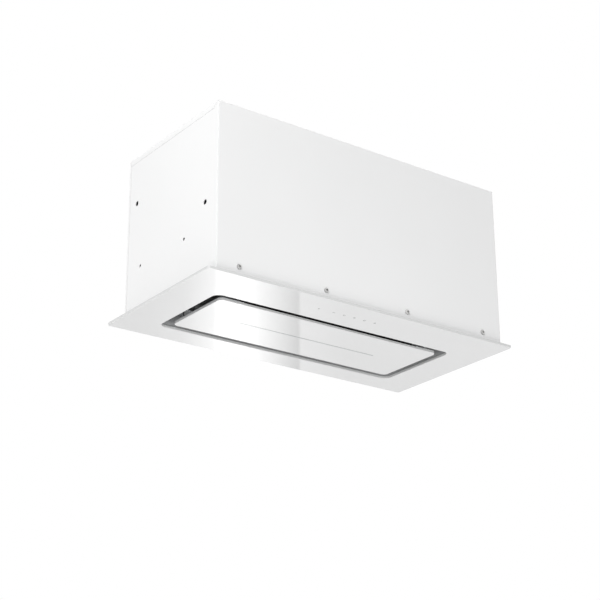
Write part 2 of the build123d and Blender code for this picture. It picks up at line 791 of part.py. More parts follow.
def scroll_side(side, with_mounts):
    """Flat side of the scroll with its inlet collar, and the flange bent out along its top."""
    outer = side * scroll_half_width
    with BuildPart() as plate:
        with BuildSketch(across(outer)):
            add(scroll_outline(scroll_wall + scroll_rim))
        extrude(amount=-side * scroll_wall)
        with Locations((side * scroll_inner, (scroll_flange_front + scroll_flange_back) / 2, roof)):
            Box(scroll_flange_half - scroll_inner, scroll_flange_back - scroll_flange_front, scroll_wall,
                align=(Align.MIN if side > 0 else Align.MAX, Align.CENTER, Align.MAX))
        with BuildSketch(across(outer)):
            Circle(inlet_radius + scroll_wall)
        extrude(amount=-side * (scroll_wall + inlet_collar))
        with BuildSketch(across(outer)):
            Circle(inlet_radius)
        extrude(amount=-side * (scroll_wall + inlet_collar), mode=Mode.SUBTRACT)
        with BuildSketch(Plane.XY.offset(roof)):
            with Locations(*scroll_screw_places):
                Circle(screw_radius + thread_clearance)
            with Locations((side * spigot_screw_radius, spigot_y)):
                Circle(small_screw_radius + thread_clearance)
        extrude(amount=-scroll_wall, mode=Mode.SUBTRACT)
        if with_mounts:
            with BuildSketch(across(outer)):
                with PolarLocations(mount_circle, 3, start_angle=90):
                    Circle(screw_radius + thread_clearance)
            extrude(amount=-side * scroll_wall, mode=Mode.SUBTRACT)
    return plate


parts["scroll_left"] = scroll_side(-1, True)
parts["scroll_right"] = scroll_side(1, False)

with BuildPart() as scroll_band:
    with BuildSketch(across(0)):
        add(scroll_outline(scroll_wall))
    extrude(amount=scroll_inner, both=True)
    for flange_edge, side in ((scroll_flange_front, Align.MIN), (scroll_flange_back, Align.MAX)):
        with Locations((0, flange_edge, roof)):
            Box(2 * scroll_inner, scroll_flange + scroll_wall, scroll_wall,
                align=(Align.CENTER, side, Align.MAX))
    with BuildSketch(across(0)):
        add(scroll_outline(0))
    extrude(amount=scroll_inner, both=True, mode=Mode.SUBTRACT)
parts["scroll_band"] = scroll_band


# ---------------------------------------------------------------- impeller wheel
def ring(start, length, outer, inner=0.0, mode=Mode.ADD):
    """Ring or disc round the blower's axis, from start along X, in the part that is open."""
    with BuildSketch(across(start)) as profile:
        Circle(outer)
        if inner:
            Circle(inner, mode=Mode.SUBTRACT)
    extrude(profile.sketch, amount=length, mode=mode)


with BuildPart() as impeller_disc:
    ring(-wheel_plate / 2, wheel_plate, wheel_radius)
    ring(-hub_length / 2, hub_length, hub_radius)
    ring(-hub_length / 2, hub_length, shaft_radius, mode=Mode.SUBTRACT)
parts["impeller_disc"] = impeller_disc

with BuildPart() as impeller_blades:
    for side in (-1, 1):
        with BuildSketch(across(side * wheel_plate / 2)):
            with PolarLocations(wheel_radius - wheel_ring / 2, blade_count):
                Rectangle(wheel_ring, blade_thickness, rotation=blade_angle)
        extrude(amount=side * (wheel_half_width - 1.5 * wheel_plate))
parts["impeller_blades"] = impeller_blades

with BuildPart() as impeller_rings:
    ring(-wheel_half_width, wheel_plate, wheel_radius, wheel_radius - wheel_ring)
    ring(wheel_half_width - wheel_plate, wheel_plate, wheel_radius, wheel_radius - wheel_ring)
parts["impeller_rings"] = impeller_rings

with BuildPart() as impeller_nut:
    with BuildSketch(across(hub_length / 2)):
        RegularPolygon(nut_radius, 6)
        Circle(shaft_radius, mode=Mode.SUBTRACT)
    extrude(amount=nut_height)
parts["impeller_nut"] = impeller_nut

# ------------------------------------------------------------------------- motor
stator_start = can_open + (can_length - can_wall - can_wall) / 2 - stack_length / 2
rear_bearing = can_end - can_wall - bearing_width

with BuildPart() as motor_can:
    ring(can_open, can_end - can_open, can_radius)
    ring(can_open, can_end - can_open - can_wall, can_radius - can_wall, mode=Mode.SUBTRACT)
    ring(rear_bearing, bearing_width, bearing_radius + bearing_seat)
    ring(rear_bearing, bearing_width, bearing_radius, mode=Mode.SUBTRACT)
    ring(rear_bearing, bearing_width + can_wall, shaft_radius + shaft_hole_play, mode=Mode.SUBTRACT)
parts["motor_can"] = motor_can

with BuildPart() as motor_end_cap:
    ring(cap_face, can_wall, can_radius)
    ring(can_open, bearing_width, bearing_radius + bearing_seat, bearing_radius)
    ring(cap_face, can_wall, shaft_radius + shaft_hole_play, mode=Mode.SUBTRACT)
parts["motor_end_cap"] = motor_end_cap

with BuildPart() as motor_bearings:
    ring(can_open, bearing_width, bearing_radius, shaft_radius + shaft_running)
    ring(rear_bearing, bearing_width, bearing_radius, shaft_radius + shaft_running)
parts["motor_bearings"] = motor_bearings

with BuildPart() as motor_stator:
    ring(stator_start, stack_length, can_radius - can_wall, rotor_radius + air_gap)
parts["motor_stator"] = motor_stator

with BuildPart() as motor_rotor:
    ring(stator_start + stack_clearance, stack_length - 2 * stack_clearance, rotor_radius, shaft_radius)
parts["motor_rotor"] = motor_rotor

with BuildPart() as motor_shaft:
    shaft_start = cap_face - shaft_stub
    shaft_end = hub_length / 2 + nut_height + shaft_reach
    ring(shaft_start, shaft_end - shaft_start, shaft_radius)
    chamfer(motor_shaft.edges().filter_by(GeomType.CIRCLE), shaft_chamfer)
parts["motor_shaft"] = motor_shaft

with BuildPart() as motor_grommets:
    with BuildSketch(across(cap_face)):
        with PolarLocations(mount_circle, 3, start_angle=90):
            Circle(grommet_radius)
            Circle(screw_radius + screw_clearance, mode=Mode.SUBTRACT)
    extrude(amount=-grommet_height)
parts["motor_grommets"] = motor_grommets

with BuildPart() as motor_bracket:
    arm_face = cap_face - grommet_height
    arm_length = mount_circle + grommet_radius
    with BuildSketch(across(arm_face)):
        Circle(boss_radius)
        with PolarLocations(arm_length / 2, 3, start_angle=90):
            Rectangle(arm_length, arm_width)
        with PolarLocations(mount_circle, 3, start_angle=90):
            Circle(screw_radius + screw_clearance, mode=Mode.SUBTRACT)
        Circle(shaft_radius + boss_play, mode=Mode.SUBTRACT)
    extrude(amount=-arm_thickness)
    ring(arm_face, grommet_height, boss_radius, shaft_radius + boss_play)
parts["motor_bracket"] = motor_bracket

with BuildPart() as motor_screws:
    for angle in (90, 210, 330):
        y = axis_y + mount_circle * cos(radians(angle))
        z = axis_z + mount_circle * sin(radians(angle))
        with Locations(Location((arm_face - arm_thickness, y, z), (0, -90, 0))):
            add(pan_screw(screw_radius, screw_head_radius, screw_head,
                          arm_thickness + grommet_height + 2 * scroll_wall))
parts["motor_screws"] = motor_screws

# ------------------------------------------------------- outlet spigot and flaps
with BuildPart() as spigot_flange:
    with Locations((0, spigot_y, body_height)):
        Cylinder(spigot_flange_radius, spigot_plate, align=low)
        Cylinder(bore_radius, spigot_plate, align=low, mode=Mode.SUBTRACT)
        with PolarLocations(spigot_screw_radius, 4):
            Cylinder(small_screw_radius + thread_clearance, spigot_plate, align=low, mode=Mode.SUBTRACT)
parts["spigot_flange"] = spigot_flange

with BuildPart() as outlet_spigot:
    with Locations((0, spigot_y, body_height + spigot_plate)):
        Cylinder(spigot_radius, spigot_height - spigot_plate, align=low)
        Cylinder(bore_radius, spigot_height, align=low, mode=Mode.SUBTRACT)
    ledge_top = flap_height - flap_thickness / 2 - flap_seat_gap
    with BuildSketch(Plane.XY.offset(ledge_top)):
        with Locations((0, spigot_y)):
            Circle(bore_radius)
            Circle(bore_radius - ledge_width, mode=Mode.SUBTRACT)
            Rectangle(2 * spigot_radius, 4 * flap_pivot, mode=Mode.SUBTRACT)
    extrude(amount=-ledge_thickness)
    bar_top = flap_height - flap_barrel_radius - flap_seat_gap
    bar_depth = 2 * (flap_pivot + flap_barrel_radius)
    bar_half = bore_radius - bar_sink
    with Locations((0, spigot_y, bar_top)):
        Box(2 * bar_half, bar_depth, bar_thickness, align=high)
    with BuildSketch(Plane.YZ):
        with Locations((spigot_y - flap_pivot, flap_height), (spigot_y + flap_pivot, flap_height)):
            Circle(flap_pin_radius + flap_running)
    extrude(amount=spigot_radius, both=True, mode=Mode.SUBTRACT)
    fillet(outlet_spigot.faces().sort_by(Axis.Z)[-1].edges(), spigot_wall / 4)
parts["outlet_spigot"] = outlet_spigot


def draught_flap(side):
    """Half-round flap on one side of the bar, with its pivot barrel and pin ends."""
    flap_radius = bore_radius - flap_play
    pivot_y = spigot_y + side * flap_pivot
    barrel_half = sqrt(flap_radius**2 - (flap_pivot + flap_barrel_radius) ** 2) - seam
    pin_half = sqrt(spigot_radius**2 - (flap_pivot + flap_pin_radius) ** 2) - seam
    with BuildPart() as flap:
        with BuildSketch(Plane.XY.offset(flap_height - flap_thickness / 2)):
            with Locations((0, spigot_y)):
                Circle(flap_radius)
            with Locations((0, pivot_y)):
                Rectangle(2 * flap_radius, 2 * flap_radius, mode=Mode.INTERSECT,
                          align=(Align.CENTER, Align.MIN if side > 0 else Align.MAX))
        extrude(amount=flap_thickness)
        for radius, half in ((flap_barrel_radius, barrel_half), (flap_pin_radius, pin_half)):
            with BuildSketch(Plane.YZ):
                with Locations((pivot_y, flap_height)):
                    Circle(radius)
            extrude(amount=half, both=True)
        with BuildSketch(Plane.XY.offset(flap_height)):
            with Locations((0, pivot_y + side * flap_radius / 2)):
                Rectangle(flap_rib[0], flap_radius - 4 * flap_barrel_radius)
        extrude(amount=flap_rib[1])
    return flap


parts["flap_front"] = draught_flap(-1)
parts["flap_rear"] = draught_flap(1)

# --------------------------------------------------------------- electrical pieces
with BuildPart() as cable_gland:
    with Locations((*gland_place, roof - gland_sleeve)):
        Cylinder(gland_thread_radius, gland_sleeve + sheet, align=low)
    with BuildSketch(Plane.XY.offset(body_height)):
        with Locations(gland_place):
            RegularPolygon(gland_hex_radius, 6)
    extrude(amount=gland_hex)
    with Locations((*gland_place, body_height + gland_hex)):
        Cylinder(gland_cap_radius, gland_cap, align=low)
    fillet(cable_gland.faces().sort_by(Axis.Z)[-1].edges(), gland_round)
    with Locations((*gland_place, roof - gland_sleeve)):
        Cylinder(gland_bore, gland_sleeve + sheet + gland_hex + gland_cap, align=low,
                 mode=Mode.SUBTRACT)
parts["cable_gland"] = cable_gland

with BuildPart() as gland_nut:
    with BuildSketch(Plane.XY.offset(roof)):
        with Locations(gland_place):
            RegularPolygon(gland_hex_radius, 6)
            Circle(gland_thread_radius, mode=Mode.SUBTRACT)
    extrude(amount=-gland_nut_height)
parts["gland_nut"] = gland_nut

with BuildPart() as terminal_box:
    box_width, box_depth, box_drop = terminal_box_size
    with Locations((*gland_place, roof)):
        Box(box_width, box_depth, box_drop, align=high)
        Box(box_width - 2 * box_wall, box_depth - 2 * box_wall, box_drop - box_wall, align=high,
            mode=Mode.SUBTRACT)
    fillet(terminal_box.edges().filter_by(Axis.Z).group_by(SortBy.LENGTH)[-1], box_wall)
parts["terminal_box"] = terminal_box

with BuildPart() as terminal_block:
    block_floor = roof - box_drop + box_wall
    with Locations((*gland_place, block_floor)):
        Box(*terminal_block_size, align=low)
    with Locations((*gland_place, block_floor + terminal_block_size[2])):
        with GridLocations(terminal_pitch, terminal_pitch, 4, 2):
            Cylinder(*terminal_hole, align=high, mode=Mode.SUBTRACT)
parts["terminal_block"] = terminal_block

with BuildPart() as control_box:
    box_x = inner_half - control_box_from_side
    box_z = control_box_z
    box_width, box_depth, box_height = control_box_size
    seat_low = (Align.CENTER, Align.MAX, Align.MIN)
    with Locations((box_x, inner_back, box_z)):
        Box(box_width, box_depth, box_height, align=seat_low)
    with Locations((box_x, inner_back - box_wall, box_z + box_wall)):
        Box(box_width - 2 * box_wall, box_depth, box_height - 2 * box_wall, align=seat_low,
            mode=Mode.SUBTRACT)
    fillet(control_box.edges().filter_by(Axis.Y).group_by(SortBy.LENGTH)[-1], box_wall)
    with Locations((box_x, inner_back - box_wall, box_z + box_height / 2)):
        with GridLocations(box_width * 0.7, 0, 2, 1):
            Box(*control_post, align=(Align.CENTER, Align.MAX, Align.CENTER))
parts["control_box"] = control_box

with BuildPart() as control_lid:
    with Locations((box_x, inner_back - box_depth, box_z)):
        Box(box_width, box_wall, box_height, align=seat_low)
    fillet(control_lid.edges().filter_by(Axis.Y), box_wall)
parts["control_lid"] = control_lid

with BuildPart() as control_board:
    board_y = inner_back - box_wall - control_post[1]
    board_z = box_z + box_wall + board_margin
    board_face = board_y - board_thickness
    with Locations((box_x, board_y, board_z)):
        Box(box_width - 2 * (box_wall + board_margin), board_thickness,
            box_height - 2 * (box_wall + board_margin), align=seat_low)
    with Locations(*[(box_x + x, board_face, board_z + z) for x, z in relay_places]):
        Box(*relay, align=seat_low)
    with Locations((box_x + board_capacitor_place[0], board_face, board_z + board_capacitor_place[1])):
        with GridLocations(board_capacitor_pitch, 0, 3, 1):
            Box(*board_capacitor, align=seat_low)
parts["control_board"] = control_board

with BuildPart() as led_driver:
    driver_x = -inner_half + driver_from_side
    driver_width, driver_depth, driver_height = driver_size
    ear_width, ear_depth, ear_height = driver_ear
    with Locations((driver_x, inner_back, driver_z)):
        Box(driver_width, driver_depth, driver_height, align=seat_low)
    fillet(led_driver.edges().filter_by(Axis.Z), box_wall)
    with Locations((driver_x, inner_back, driver_z + driver_height / 2)):
        Box(driver_width + 2 * ear_width, ear_depth, ear_height,
            align=(Align.CENTER, Align.MAX, Align.CENTER))
parts["led_driver"] = led_driver

capacitor_x = inner_half - capacitor_from_side
capacitor_y = inner_front + capacitor_from_front
capacitor_z = roof - clip_wall - capacitor_radius

with BuildPart() as capacitor:
    with BuildSketch(Plane.YZ.offset(capacitor_x - capacitor_length / 2)):
        with Locations((capacitor_y, capacitor_z)):
            Circle(capacitor_radius)
    extrude(amount=capacitor_length)
    fillet(capacitor.edges().filter_by(GeomType.CIRCLE), capacitor_round)
parts["capacitor"] = capacitor

with BuildPart() as capacitor_clip:
    with BuildSketch(Plane.YZ.offset(capacitor_x - clip_width / 2)):
        with Locations((capacitor_y, capacitor_z)):
            Circle(capacitor_radius + clip_wall)
        with Locations((capacitor_y, roof)):
            Rectangle(2 * (capacitor_radius + clip_foot), clip_wall, align=(Align.CENTER, Align.MAX))
        with Locations((capacitor_y, capacitor_z)):
            Circle(capacitor_radius, mode=Mode.SUBTRACT)
    extrude(amount=clip_width)
parts["capacitor_clip"] = capacitor_clip

# ---------------------------------------------------------------- write the pieces
os.makedirs("parts", exist_ok=True)
for name, piece in parts.items():
    piece.part.label = name
    export_step(piece.part, f"parts/{name}.step")
    print(name, len(piece.part.solids()))
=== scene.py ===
import bmesh
import bpy
from math import cos, pi, radians, sin
from mathutils import Matrix, Vector


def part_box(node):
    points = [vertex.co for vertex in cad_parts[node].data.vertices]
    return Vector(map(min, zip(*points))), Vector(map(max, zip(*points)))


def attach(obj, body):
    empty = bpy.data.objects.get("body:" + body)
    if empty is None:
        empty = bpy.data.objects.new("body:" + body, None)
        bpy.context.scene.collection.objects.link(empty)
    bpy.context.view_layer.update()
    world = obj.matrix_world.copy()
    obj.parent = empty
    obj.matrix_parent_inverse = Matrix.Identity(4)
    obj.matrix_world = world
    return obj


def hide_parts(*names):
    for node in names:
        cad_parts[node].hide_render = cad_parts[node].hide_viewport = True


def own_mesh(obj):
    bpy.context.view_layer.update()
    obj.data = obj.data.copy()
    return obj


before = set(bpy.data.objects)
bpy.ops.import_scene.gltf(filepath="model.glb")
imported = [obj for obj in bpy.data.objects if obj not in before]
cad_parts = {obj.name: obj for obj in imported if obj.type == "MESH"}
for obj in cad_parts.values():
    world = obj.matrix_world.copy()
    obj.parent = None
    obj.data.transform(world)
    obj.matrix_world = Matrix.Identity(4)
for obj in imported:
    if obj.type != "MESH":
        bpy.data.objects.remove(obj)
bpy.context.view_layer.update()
scene = bpy.context.scene
mm = 0.001


# Small helpers for the node trees. A socket given as an input is linked, anything else is set.
def feed(node, inputs):
    for key, value in inputs.items():
        if isinstance(value, bpy.types.NodeSocket):
            node.id_data.links.new(value, node.inputs[key])
        else:
            node.inputs[key].default_value = value
    return node


# A node goes into the tree of the sockets that feed it, or into the one that is named
def addNode(kind, inputs, tree=None, **settings):
    tree = tree or next(value.id_data for value in inputs.values() if isinstance(value, bpy.types.NodeSocket))
    made = tree.nodes.new("ShaderNode" + kind)
    for key, value in settings.items():
        setattr(made, key, value)
    return feed(made, inputs)


def coordsOf(tree, kind):
    return addNode("TexCoord", {}, tree).outputs[kind]


def objectPlace(tree, scale=(1, 1, 1), turn=(0, 0, 0)):
    return addNode("Mapping", {"Vector": coordsOf(tree, "Object"), "Scale": scale,
                               "Rotation": turn}).outputs[0]


def noiseAt(place, scale, detail=3):
    return addNode("TexNoise", {"Vector": place, "Scale": scale, "Detail": detail}).outputs[0]


def spreadTo(value, low, high, fromLow=0.35, fromHigh=0.65):
    return addNode("MapRange", {"Value": value, "From Min": fromLow, "From Max": fromHigh,
                                "To Min": low, "To Max": high}).outputs[0]


def mixTones(factor, low, high):
    low, high = (tone if isinstance(tone, bpy.types.NodeSocket) else (*tone, 1) for tone in (low, high))
    return addNode("Mix", {0: factor, 6: low, 7: high}, data_type="RGBA").outputs[2]


def maths(operation, first, second=0):
    return addNode("Math", {0: first, 1: second}, operation=operation).outputs[0]


def split(vector):
    return addNode("SeparateXYZ", {0: vector}).outputs


def relief(height, depth):
    return addNode("Bump", {"Height": height, "Distance": depth * mm, "Strength": 1}).outputs[0]


# The two tones of a look, mixed by soft clouds
def cloudTone(place, look, detail=3):
    clouds = noiseAt(place, look["cloudScale"], detail)
    return mixTones(spreadTo(clouds, 0, 1), look["low"], look["high"])


def blankFinish(name):
    finish = bpy.data.materials.new(name)
    finish.use_nodes = True
    return finish, finish.node_tree, finish.node_tree.nodes["Principled BSDF"]


# A recipe gives the tone, roughness and relief; what is the same all over is set on the shader itself
def makeFinish(name, recipe, look):
    finish, tree, shader = blankFinish(name)
    place = objectPlace(tree, look.get("stretch", (1, 1, 1)), look.get("turn", (0, 0, 0)))
    tone, rough, bumps = recipe(place, look)
    feed(shader, {"Base Color": tone, "Roughness": rough, "Normal": bumps, **look.get("shader", {})})
    return finish


# Soft clouds of tone, a roughness that wanders and a fine grain in relief
def grained(place, look):
    grain = noiseAt(place, look["grainScale"], 2)
    tone = cloudTone(place, look, 4)
    if "speckle" in look:  # small spots where the grain is highest
        spots = spreadTo(grain, 0, look["speckle"], 0.5, 0.75)
        tone = mixTones(spots, tone, look["speckleTone"])
    height = split(place)[2]
    if "lipTone" in look:  # painted light: paler towards the lower rim, fading upwards into the recess's darker painted shade
        tone = mixTones(spreadTo(height, 1, 0, *look["lipHeights"]), tone, look["lipTone"])
    if "foldTone" in look:  # painted shade over the upright folds, in place of their highlight, and painted shade along the side walls' feet
        normal = split(coordsOf(place.id_data, "Normal"))
        sideways, endways = (maths("ABSOLUTE", normal[axis]) for axis in (0, 1))
        fold = spreadTo(maths("MINIMUM", sideways, endways), 0, 1, *look["foldSpread"])
        tone = mixTones(fold, tone, look["foldTone"])
        # painted shade, darker towards the feet of the side walls
        foot = maths("MULTIPLY", spreadTo(height, 1, 0, *look["footHeights"]), sideways)
        tone = mixTones(foot, tone, look["footTone"])
    wander = noiseAt(place, look["cloudScale"] * 2.7)
    return tone, spreadTo(wander, *look["rough"]), relief(grain, look["grainDepth"])


# Settings of a grained finish: its two tones (linear), the scale of its clouds, the scale and depth in mm
# of its grain, its least and most roughness, how metallic and how varnished it is
def coat(low, high, cloudScale, grainScale, grainDepth, rough, metallic=0, varnish=0, **special):
    return dict(special, low=low, high=high, cloudScale=cloudScale, grainScale=grainScale,
                grainDepth=grainDepth, rough=rough, shader={"Metallic": metallic, "Coat Weight": varnish})


grainedLooks = {
    "white_casing": coat((0.847, 0.849, 0.849), (0.872, 0.874, 0.874), 3, 1300, 0.012, (0.34, 0.46),
                         # painted shade over the upright folds
                         foldTone=(0.74, 0.745, 0.745), foldSpread=(0.15, 0.5),
                         # painted shade along the side walls' feet
                         footTone=(0.745, 0.75, 0.75), footHeights=(0.006, 0.016)),
    "grey_recess": coat((0.36, 0.365, 0.37), (0.42, 0.425, 0.43), 8, 1500, 0.02, (0.42, 0.58),
                        # painted light: paler at the recess's lower rim
                        lipTone=(0.66, 0.665, 0.67), lipHeights=(0.002, 0.008)),
    # dark_filter: a dark coated frame, its tone taken near black so that it also gives painted shade through
    # the front slot
    "dark_filter": coat((0.012, 0.012, 0.013), (0.022, 0.022, 0.024), 14, 1700, 0.015, (0.34, 0.5), 0.2,
                        stretch=(0.1, 1, 1)),
    "filter_pack": coat((0.13, 0.132, 0.138), (0.24, 0.243, 0.25), 60, 2200, 0.02, (0.3, 0.48), 0.8),
    "screw_steel": coat((0.5, 0.5, 0.5), (0.7, 0.7, 0.69), 260, 3000, 0.01, (0.22, 0.38), 1,
                        speckle=0.4, speckleTone=(0.36, 0.34, 0.28)),
    "spring_steel": coat((0.3, 0.3, 0.3), (0.45, 0.45, 0.46), 500, 4000, 0.006, (0.24, 0.36), 1),
    "latch_plastic": coat((0.016, 0.016, 0.017), (0.024, 0.024, 0.026), 40, 2600, 0.02, (0.36, 0.5)),
    "led_aluminium": coat((0.55, 0.56, 0.57), (0.68, 0.69, 0.7), 500, 2400, 0.006, (0.28, 0.42), 1,
                          stretch=(0.02, 1, 1)),
    "magnet_nickel": coat((0.56, 0.55, 0.52), (0.68, 0.67, 0.64), 220, 1800, 0.004, (0.12, 0.24), 1),
    "white_plastic": coat((0.7, 0.7, 0.68), (0.74, 0.74, 0.72), 20, 1900, 0.018, (0.4, 0.52)),
    "black_plastic": coat((0.017, 0.017, 0.018), (0.027, 0.027, 0.029), 26, 1800, 0.025, (0.38, 0.54)),
    "motor_paint": coat((0.035, 0.036, 0.04), (0.055, 0.056, 0.06), 16, 1100, 0.03, (0.3, 0.46)),
    "shaft_steel": coat((0.48, 0.48, 0.49), (0.62, 0.62, 0.63), 700, 3600, 0.004, (0.16, 0.28), 1,
                        stretch=(1, 0.1, 0.1)),
    "grommet_rubber": coat((0.014, 0.014, 0.014), (0.026, 0.026, 0.025), 120, 2400, 0.03, (0.66, 0.82)),
    "capacitor_can": coat((0.6, 0.61, 0.62), (0.72, 0.73, 0.74), 300, 2600, 0.006, (0.22, 0.34), 1,
                          stretch=(1, 0.06, 0.06)),
    "copper_wire": coat((0.42, 0.13, 0.045), (0.62, 0.24, 0.1), 120, 900, 0.12, (0.24, 0.4), 0.9, 0.3),
    "brass_clamp": coat((0.52, 0.36, 0.12), (0.66, 0.48, 0.19), 300, 2400, 0.01, (0.24, 0.38), 1),
    "tin_solder": coat((0.52, 0.53, 0.54), (0.68, 0.69, 0.7), 700, 3000, 0.01, (0.16, 0.34), 1),
    "film_resin": coat((0.52, 0.2, 0.035), (0.6, 0.26, 0.05), 90, 2000, 0.012, (0.28, 0.42)),
    "relay_case": coat((0.015, 0.05, 0.16), (0.022, 0.065, 0.2), 60, 2000, 0.01, (0.28, 0.4)),
}

# Glass with white enamel on its back: glossy white below, grey on top. Its cut edges in the slot are near
# white, painted light for the light that the glass carries to them, and greyer round the outer rim.
glassLook = {"low": (0.848, 0.85, 0.85), "high": (0.868, 0.87, 0.87), "cloudScale": 5,
             "back": (0.5, 0.51, 0.51), "edge": (0.957, 0.962, 0.96), "rimEdge": (0.665, 0.67, 0.668),
             "rimHalf": (0.276, 0.134), "smudgeScale": 24, "smudgeStretch": (1, 2.2, 1),
             "rough": (0.018, 0.045), "waveScale": 11, "waveDepth": 0.003, "shader": {"IOR": 1.52}}


def enamelled(place, look):
    upwards = split(coordsOf(place.id_data, "Normal"))[2]
    spot = split(place)
    past = [maths("GREATER_THAN", maths("ABSOLUTE", spot[axis]), look["rimHalf"][axis])
            for axis in (0, 1)]
    # painted light on the cut edges within the slot
    edge = mixTones(maths("MAXIMUM", *past), look["edge"], look["rimEdge"])
    level = spreadTo(maths("ABSOLUTE", upwards), 0, 1, 0.2, 0.8)
    tone = mixTones(level, edge, cloudTone(place, look))
    tone = mixTones(spreadTo(upwards, 0, 1, 0.4, 0.8), tone, look["back"])
    smudges = noiseAt(objectPlace(place.id_data, look["smudgeStretch"]), look["smudgeScale"], 5)
    waves = noiseAt(place, look["waveScale"], 0)
    return tone, spreadTo(smudges, *look["rough"]), relief(waves, look["waveDepth"])


# Zinc-coated sheet: flat crystals of slightly different tone and gloss
zincLook = {"low": (0.5, 0.51, 0.52), "high": (0.66, 0.67, 0.68), "dull": (0.42, 0.43, 0.44),
            "crystalScale": 210, "wobble": 0.004, "dullScale": 9, "rough": (0.3, 0.46),
            "grainScale": 900, "grainDepth": 0.02, "shader": {"Metallic": 0.92}}
wheelLook = dict(zincLook, low=(0.46, 0.47, 0.48), high=(0.58, 0.59, 0.6), crystalScale=420)


def spangled(place, look):
    wobble = noiseAt(place, look["crystalScale"] * 1.5, 2)
    bent = addNode("VectorMath", {0: place, 1: maths("MULTIPLY", wobble, look["wobble"])})
    crystals = addNode("TexVoronoi", {"Vector": bent.outputs[0], "Scale": look["crystalScale"]})
    shade = addNode("SeparateColor", {0: crystals.outputs["Color"]}).outputs
    dulled = spreadTo(noiseAt(place, look["dullScale"], 5), 0, 0.35, 0.55, 0.8)
    tone = mixTones(dulled, mixTones(shade[0], look["low"], look["high"]), look["dull"])
    grain = noiseAt(place, look["grainScale"], 2)
    return tone, spreadTo(shade[1], *look["rough"], 0, 1), relief(grain, look["grainDepth"])


# Steel sheets stacked along the blower's axis, with the dull varnish between them
coreLook = {"steel": (0.34, 0.33, 0.32), "varnish": (0.07, 0.06, 0.055), "sheetScale": 300,
            "rough": (0.62, 0.34), "step": 0.05, "shader": {"Metallic": 0.85}}


def stacked(place, look):
    bands = addNode("TexWave", {"Vector": place, "Scale": look["sheetScale"], "Distortion": 0.3,
                                "Detail": 1}, wave_type="BANDS", bands_direction="X").outputs[1]
    tone = mixTones(bands, look["varnish"], look["steel"])
    return tone, spreadTo(bands, *look["rough"], 0, 1), relief(bands, look["step"])


# Printed boards: solder mask with raised tracks under it and tinned pads
maskLook = {"cloudScale": 60, "trackShare": 0.36, "padShare": 0.13, "pad": (0.6, 0.59, 0.55),
            "sheenScale": 300, "rough": (0.26, 0.4), "step": 0.04, "shader": {"Coat Weight": 0.3}}
controlMask = dict(maskLook, turn=(pi / 2, 0, 0), trackScale=70, trackCount=11, padScale=190,
                   low=(0.008, 0.085, 0.03), high=(0.012, 0.12, 0.045), track=(0.02, 0.19, 0.07))
touchMask = dict(maskLook, trackScale=110, trackCount=9, padScale=260,
                 low=(0.008, 0.07, 0.03), high=(0.012, 0.1, 0.04), track=(0.02, 0.17, 0.07))


def printed(place, look):
    reach = addNode("TexVoronoi", {"Vector": place, "Scale": look["trackScale"]},
                    distance="CHEBYCHEV").outputs["Distance"]
    beside = maths("PINGPONG", maths("MULTIPLY", reach, look["trackCount"]), 1)
    tracks = maths("LESS_THAN", beside, look["trackShare"])
    pads = addNode("TexVoronoi", {"Vector": place, "Scale": look["padScale"], "Randomness": 0.35})
    tinned = maths("LESS_THAN", pads.outputs["Distance"], look["padShare"])
    tone = mixTones(tracks, cloudTone(place, look), look["track"])
    sheen = noiseAt(place, look["sheenScale"])
    return (mixTones(tinned, tone, look["pad"]), spreadTo(sheen, *look["rough"]),
            relief(tracks, look["step"]))


# Smooth plastic: the opal cover over the lamps, unlit, and the lamp strip with amber lamps at its foot
opalLook = {"low": (0.52, 0.54, 0.54), "high": (0.57, 0.59, 0.59), "cloudScale": 40, "sheenScale": 900,
            "rough": (0.06, 0.12), "grainScale": 1600, "grainDepth": 0.01,
            "shader": {"Subsurface Weight": 0.3, "Subsurface Radius": (1, 1, 1), "Subsurface Scale": 0.002}}
stripLook = {"low": (0.68, 0.68, 0.66), "high": (0.76, 0.76, 0.74), "cloudScale": 500, "sheenScale": 900,
             "rough": (0.3, 0.45), "grainScale": 1500, "grainDepth": 0.01, "lamp": (0.8, 0.55, 0.12),
             "lampTop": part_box("led_strip")[0].z + 0.5 * mm}


def smooth(place, look):
    tone = cloudTone(place, look)
    if "lamp" in look:
        lamps = maths("LESS_THAN", split(place)[2], look["lampTop"])
        tone = mixTones(lamps, tone, look["lamp"])
    sheen, grain = (noiseAt(place, look[key]) for key in ("sheenScale", "grainScale"))
    return tone, spreadTo(sheen, *look["rough"]), relief(grain, look["grainDepth"])


print("finishes")
finishes = {name: makeFinish(name + "_coat", grained, look) for name, look in grainedLooks.items()}
finishes["white_glass"] = makeFinish("enamelled_glass", enamelled, glassLook)
finishes["galvanised_sheet"] = makeFinish("spangled_zinc", spangled, zincLook)
finishes["wheel_sheet"] = makeFinish("wheel_zinc", spangled, wheelLook)
finishes["core_steel"] = makeFinish("stacked_core", stacked, coreLook)
finishes["circuit_board"] = makeFinish("control_board_mask", printed, controlMask)
finishes["opal_diffuser"] = makeFinish("opal_plastic", smooth, opalLook)
recordSlots = set()
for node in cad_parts.values():
    for holder in node.material_slots:
        recordSlots.add(holder.material.name)
        holder.material = finishes[holder.material.name]
for node, name, recipe, look in (("touch_board", "touch_board_mask", printed, touchMask),
                                 ("led_strip", "lamp_strip_mask", smooth, stripLook)):
    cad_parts[node].material_slots[0].material = makeFinish(name, recipe, look)


# Small helpers for the pieces; lengths in the settings are in mm
def boxOf(node):
    return [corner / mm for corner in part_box(node)]


def newForms(count):
    return [bmesh.new() for index in range(count)]


def inPlace(*point):
    return Matrix.Translation(Vector(point) * mm)


def spun(angle, axis="Z"):
    return Matrix.Rotation(angle, 4, axis)


def asMesh(name, form):
    data = bpy.data.meshes.new(name)
    form.to_mesh(data)
    form.free()
    return data


def linkObject(name, data):
    made = bpy.data.objects.new(name, data)
    scene.collection.objects.link(made)
    return made
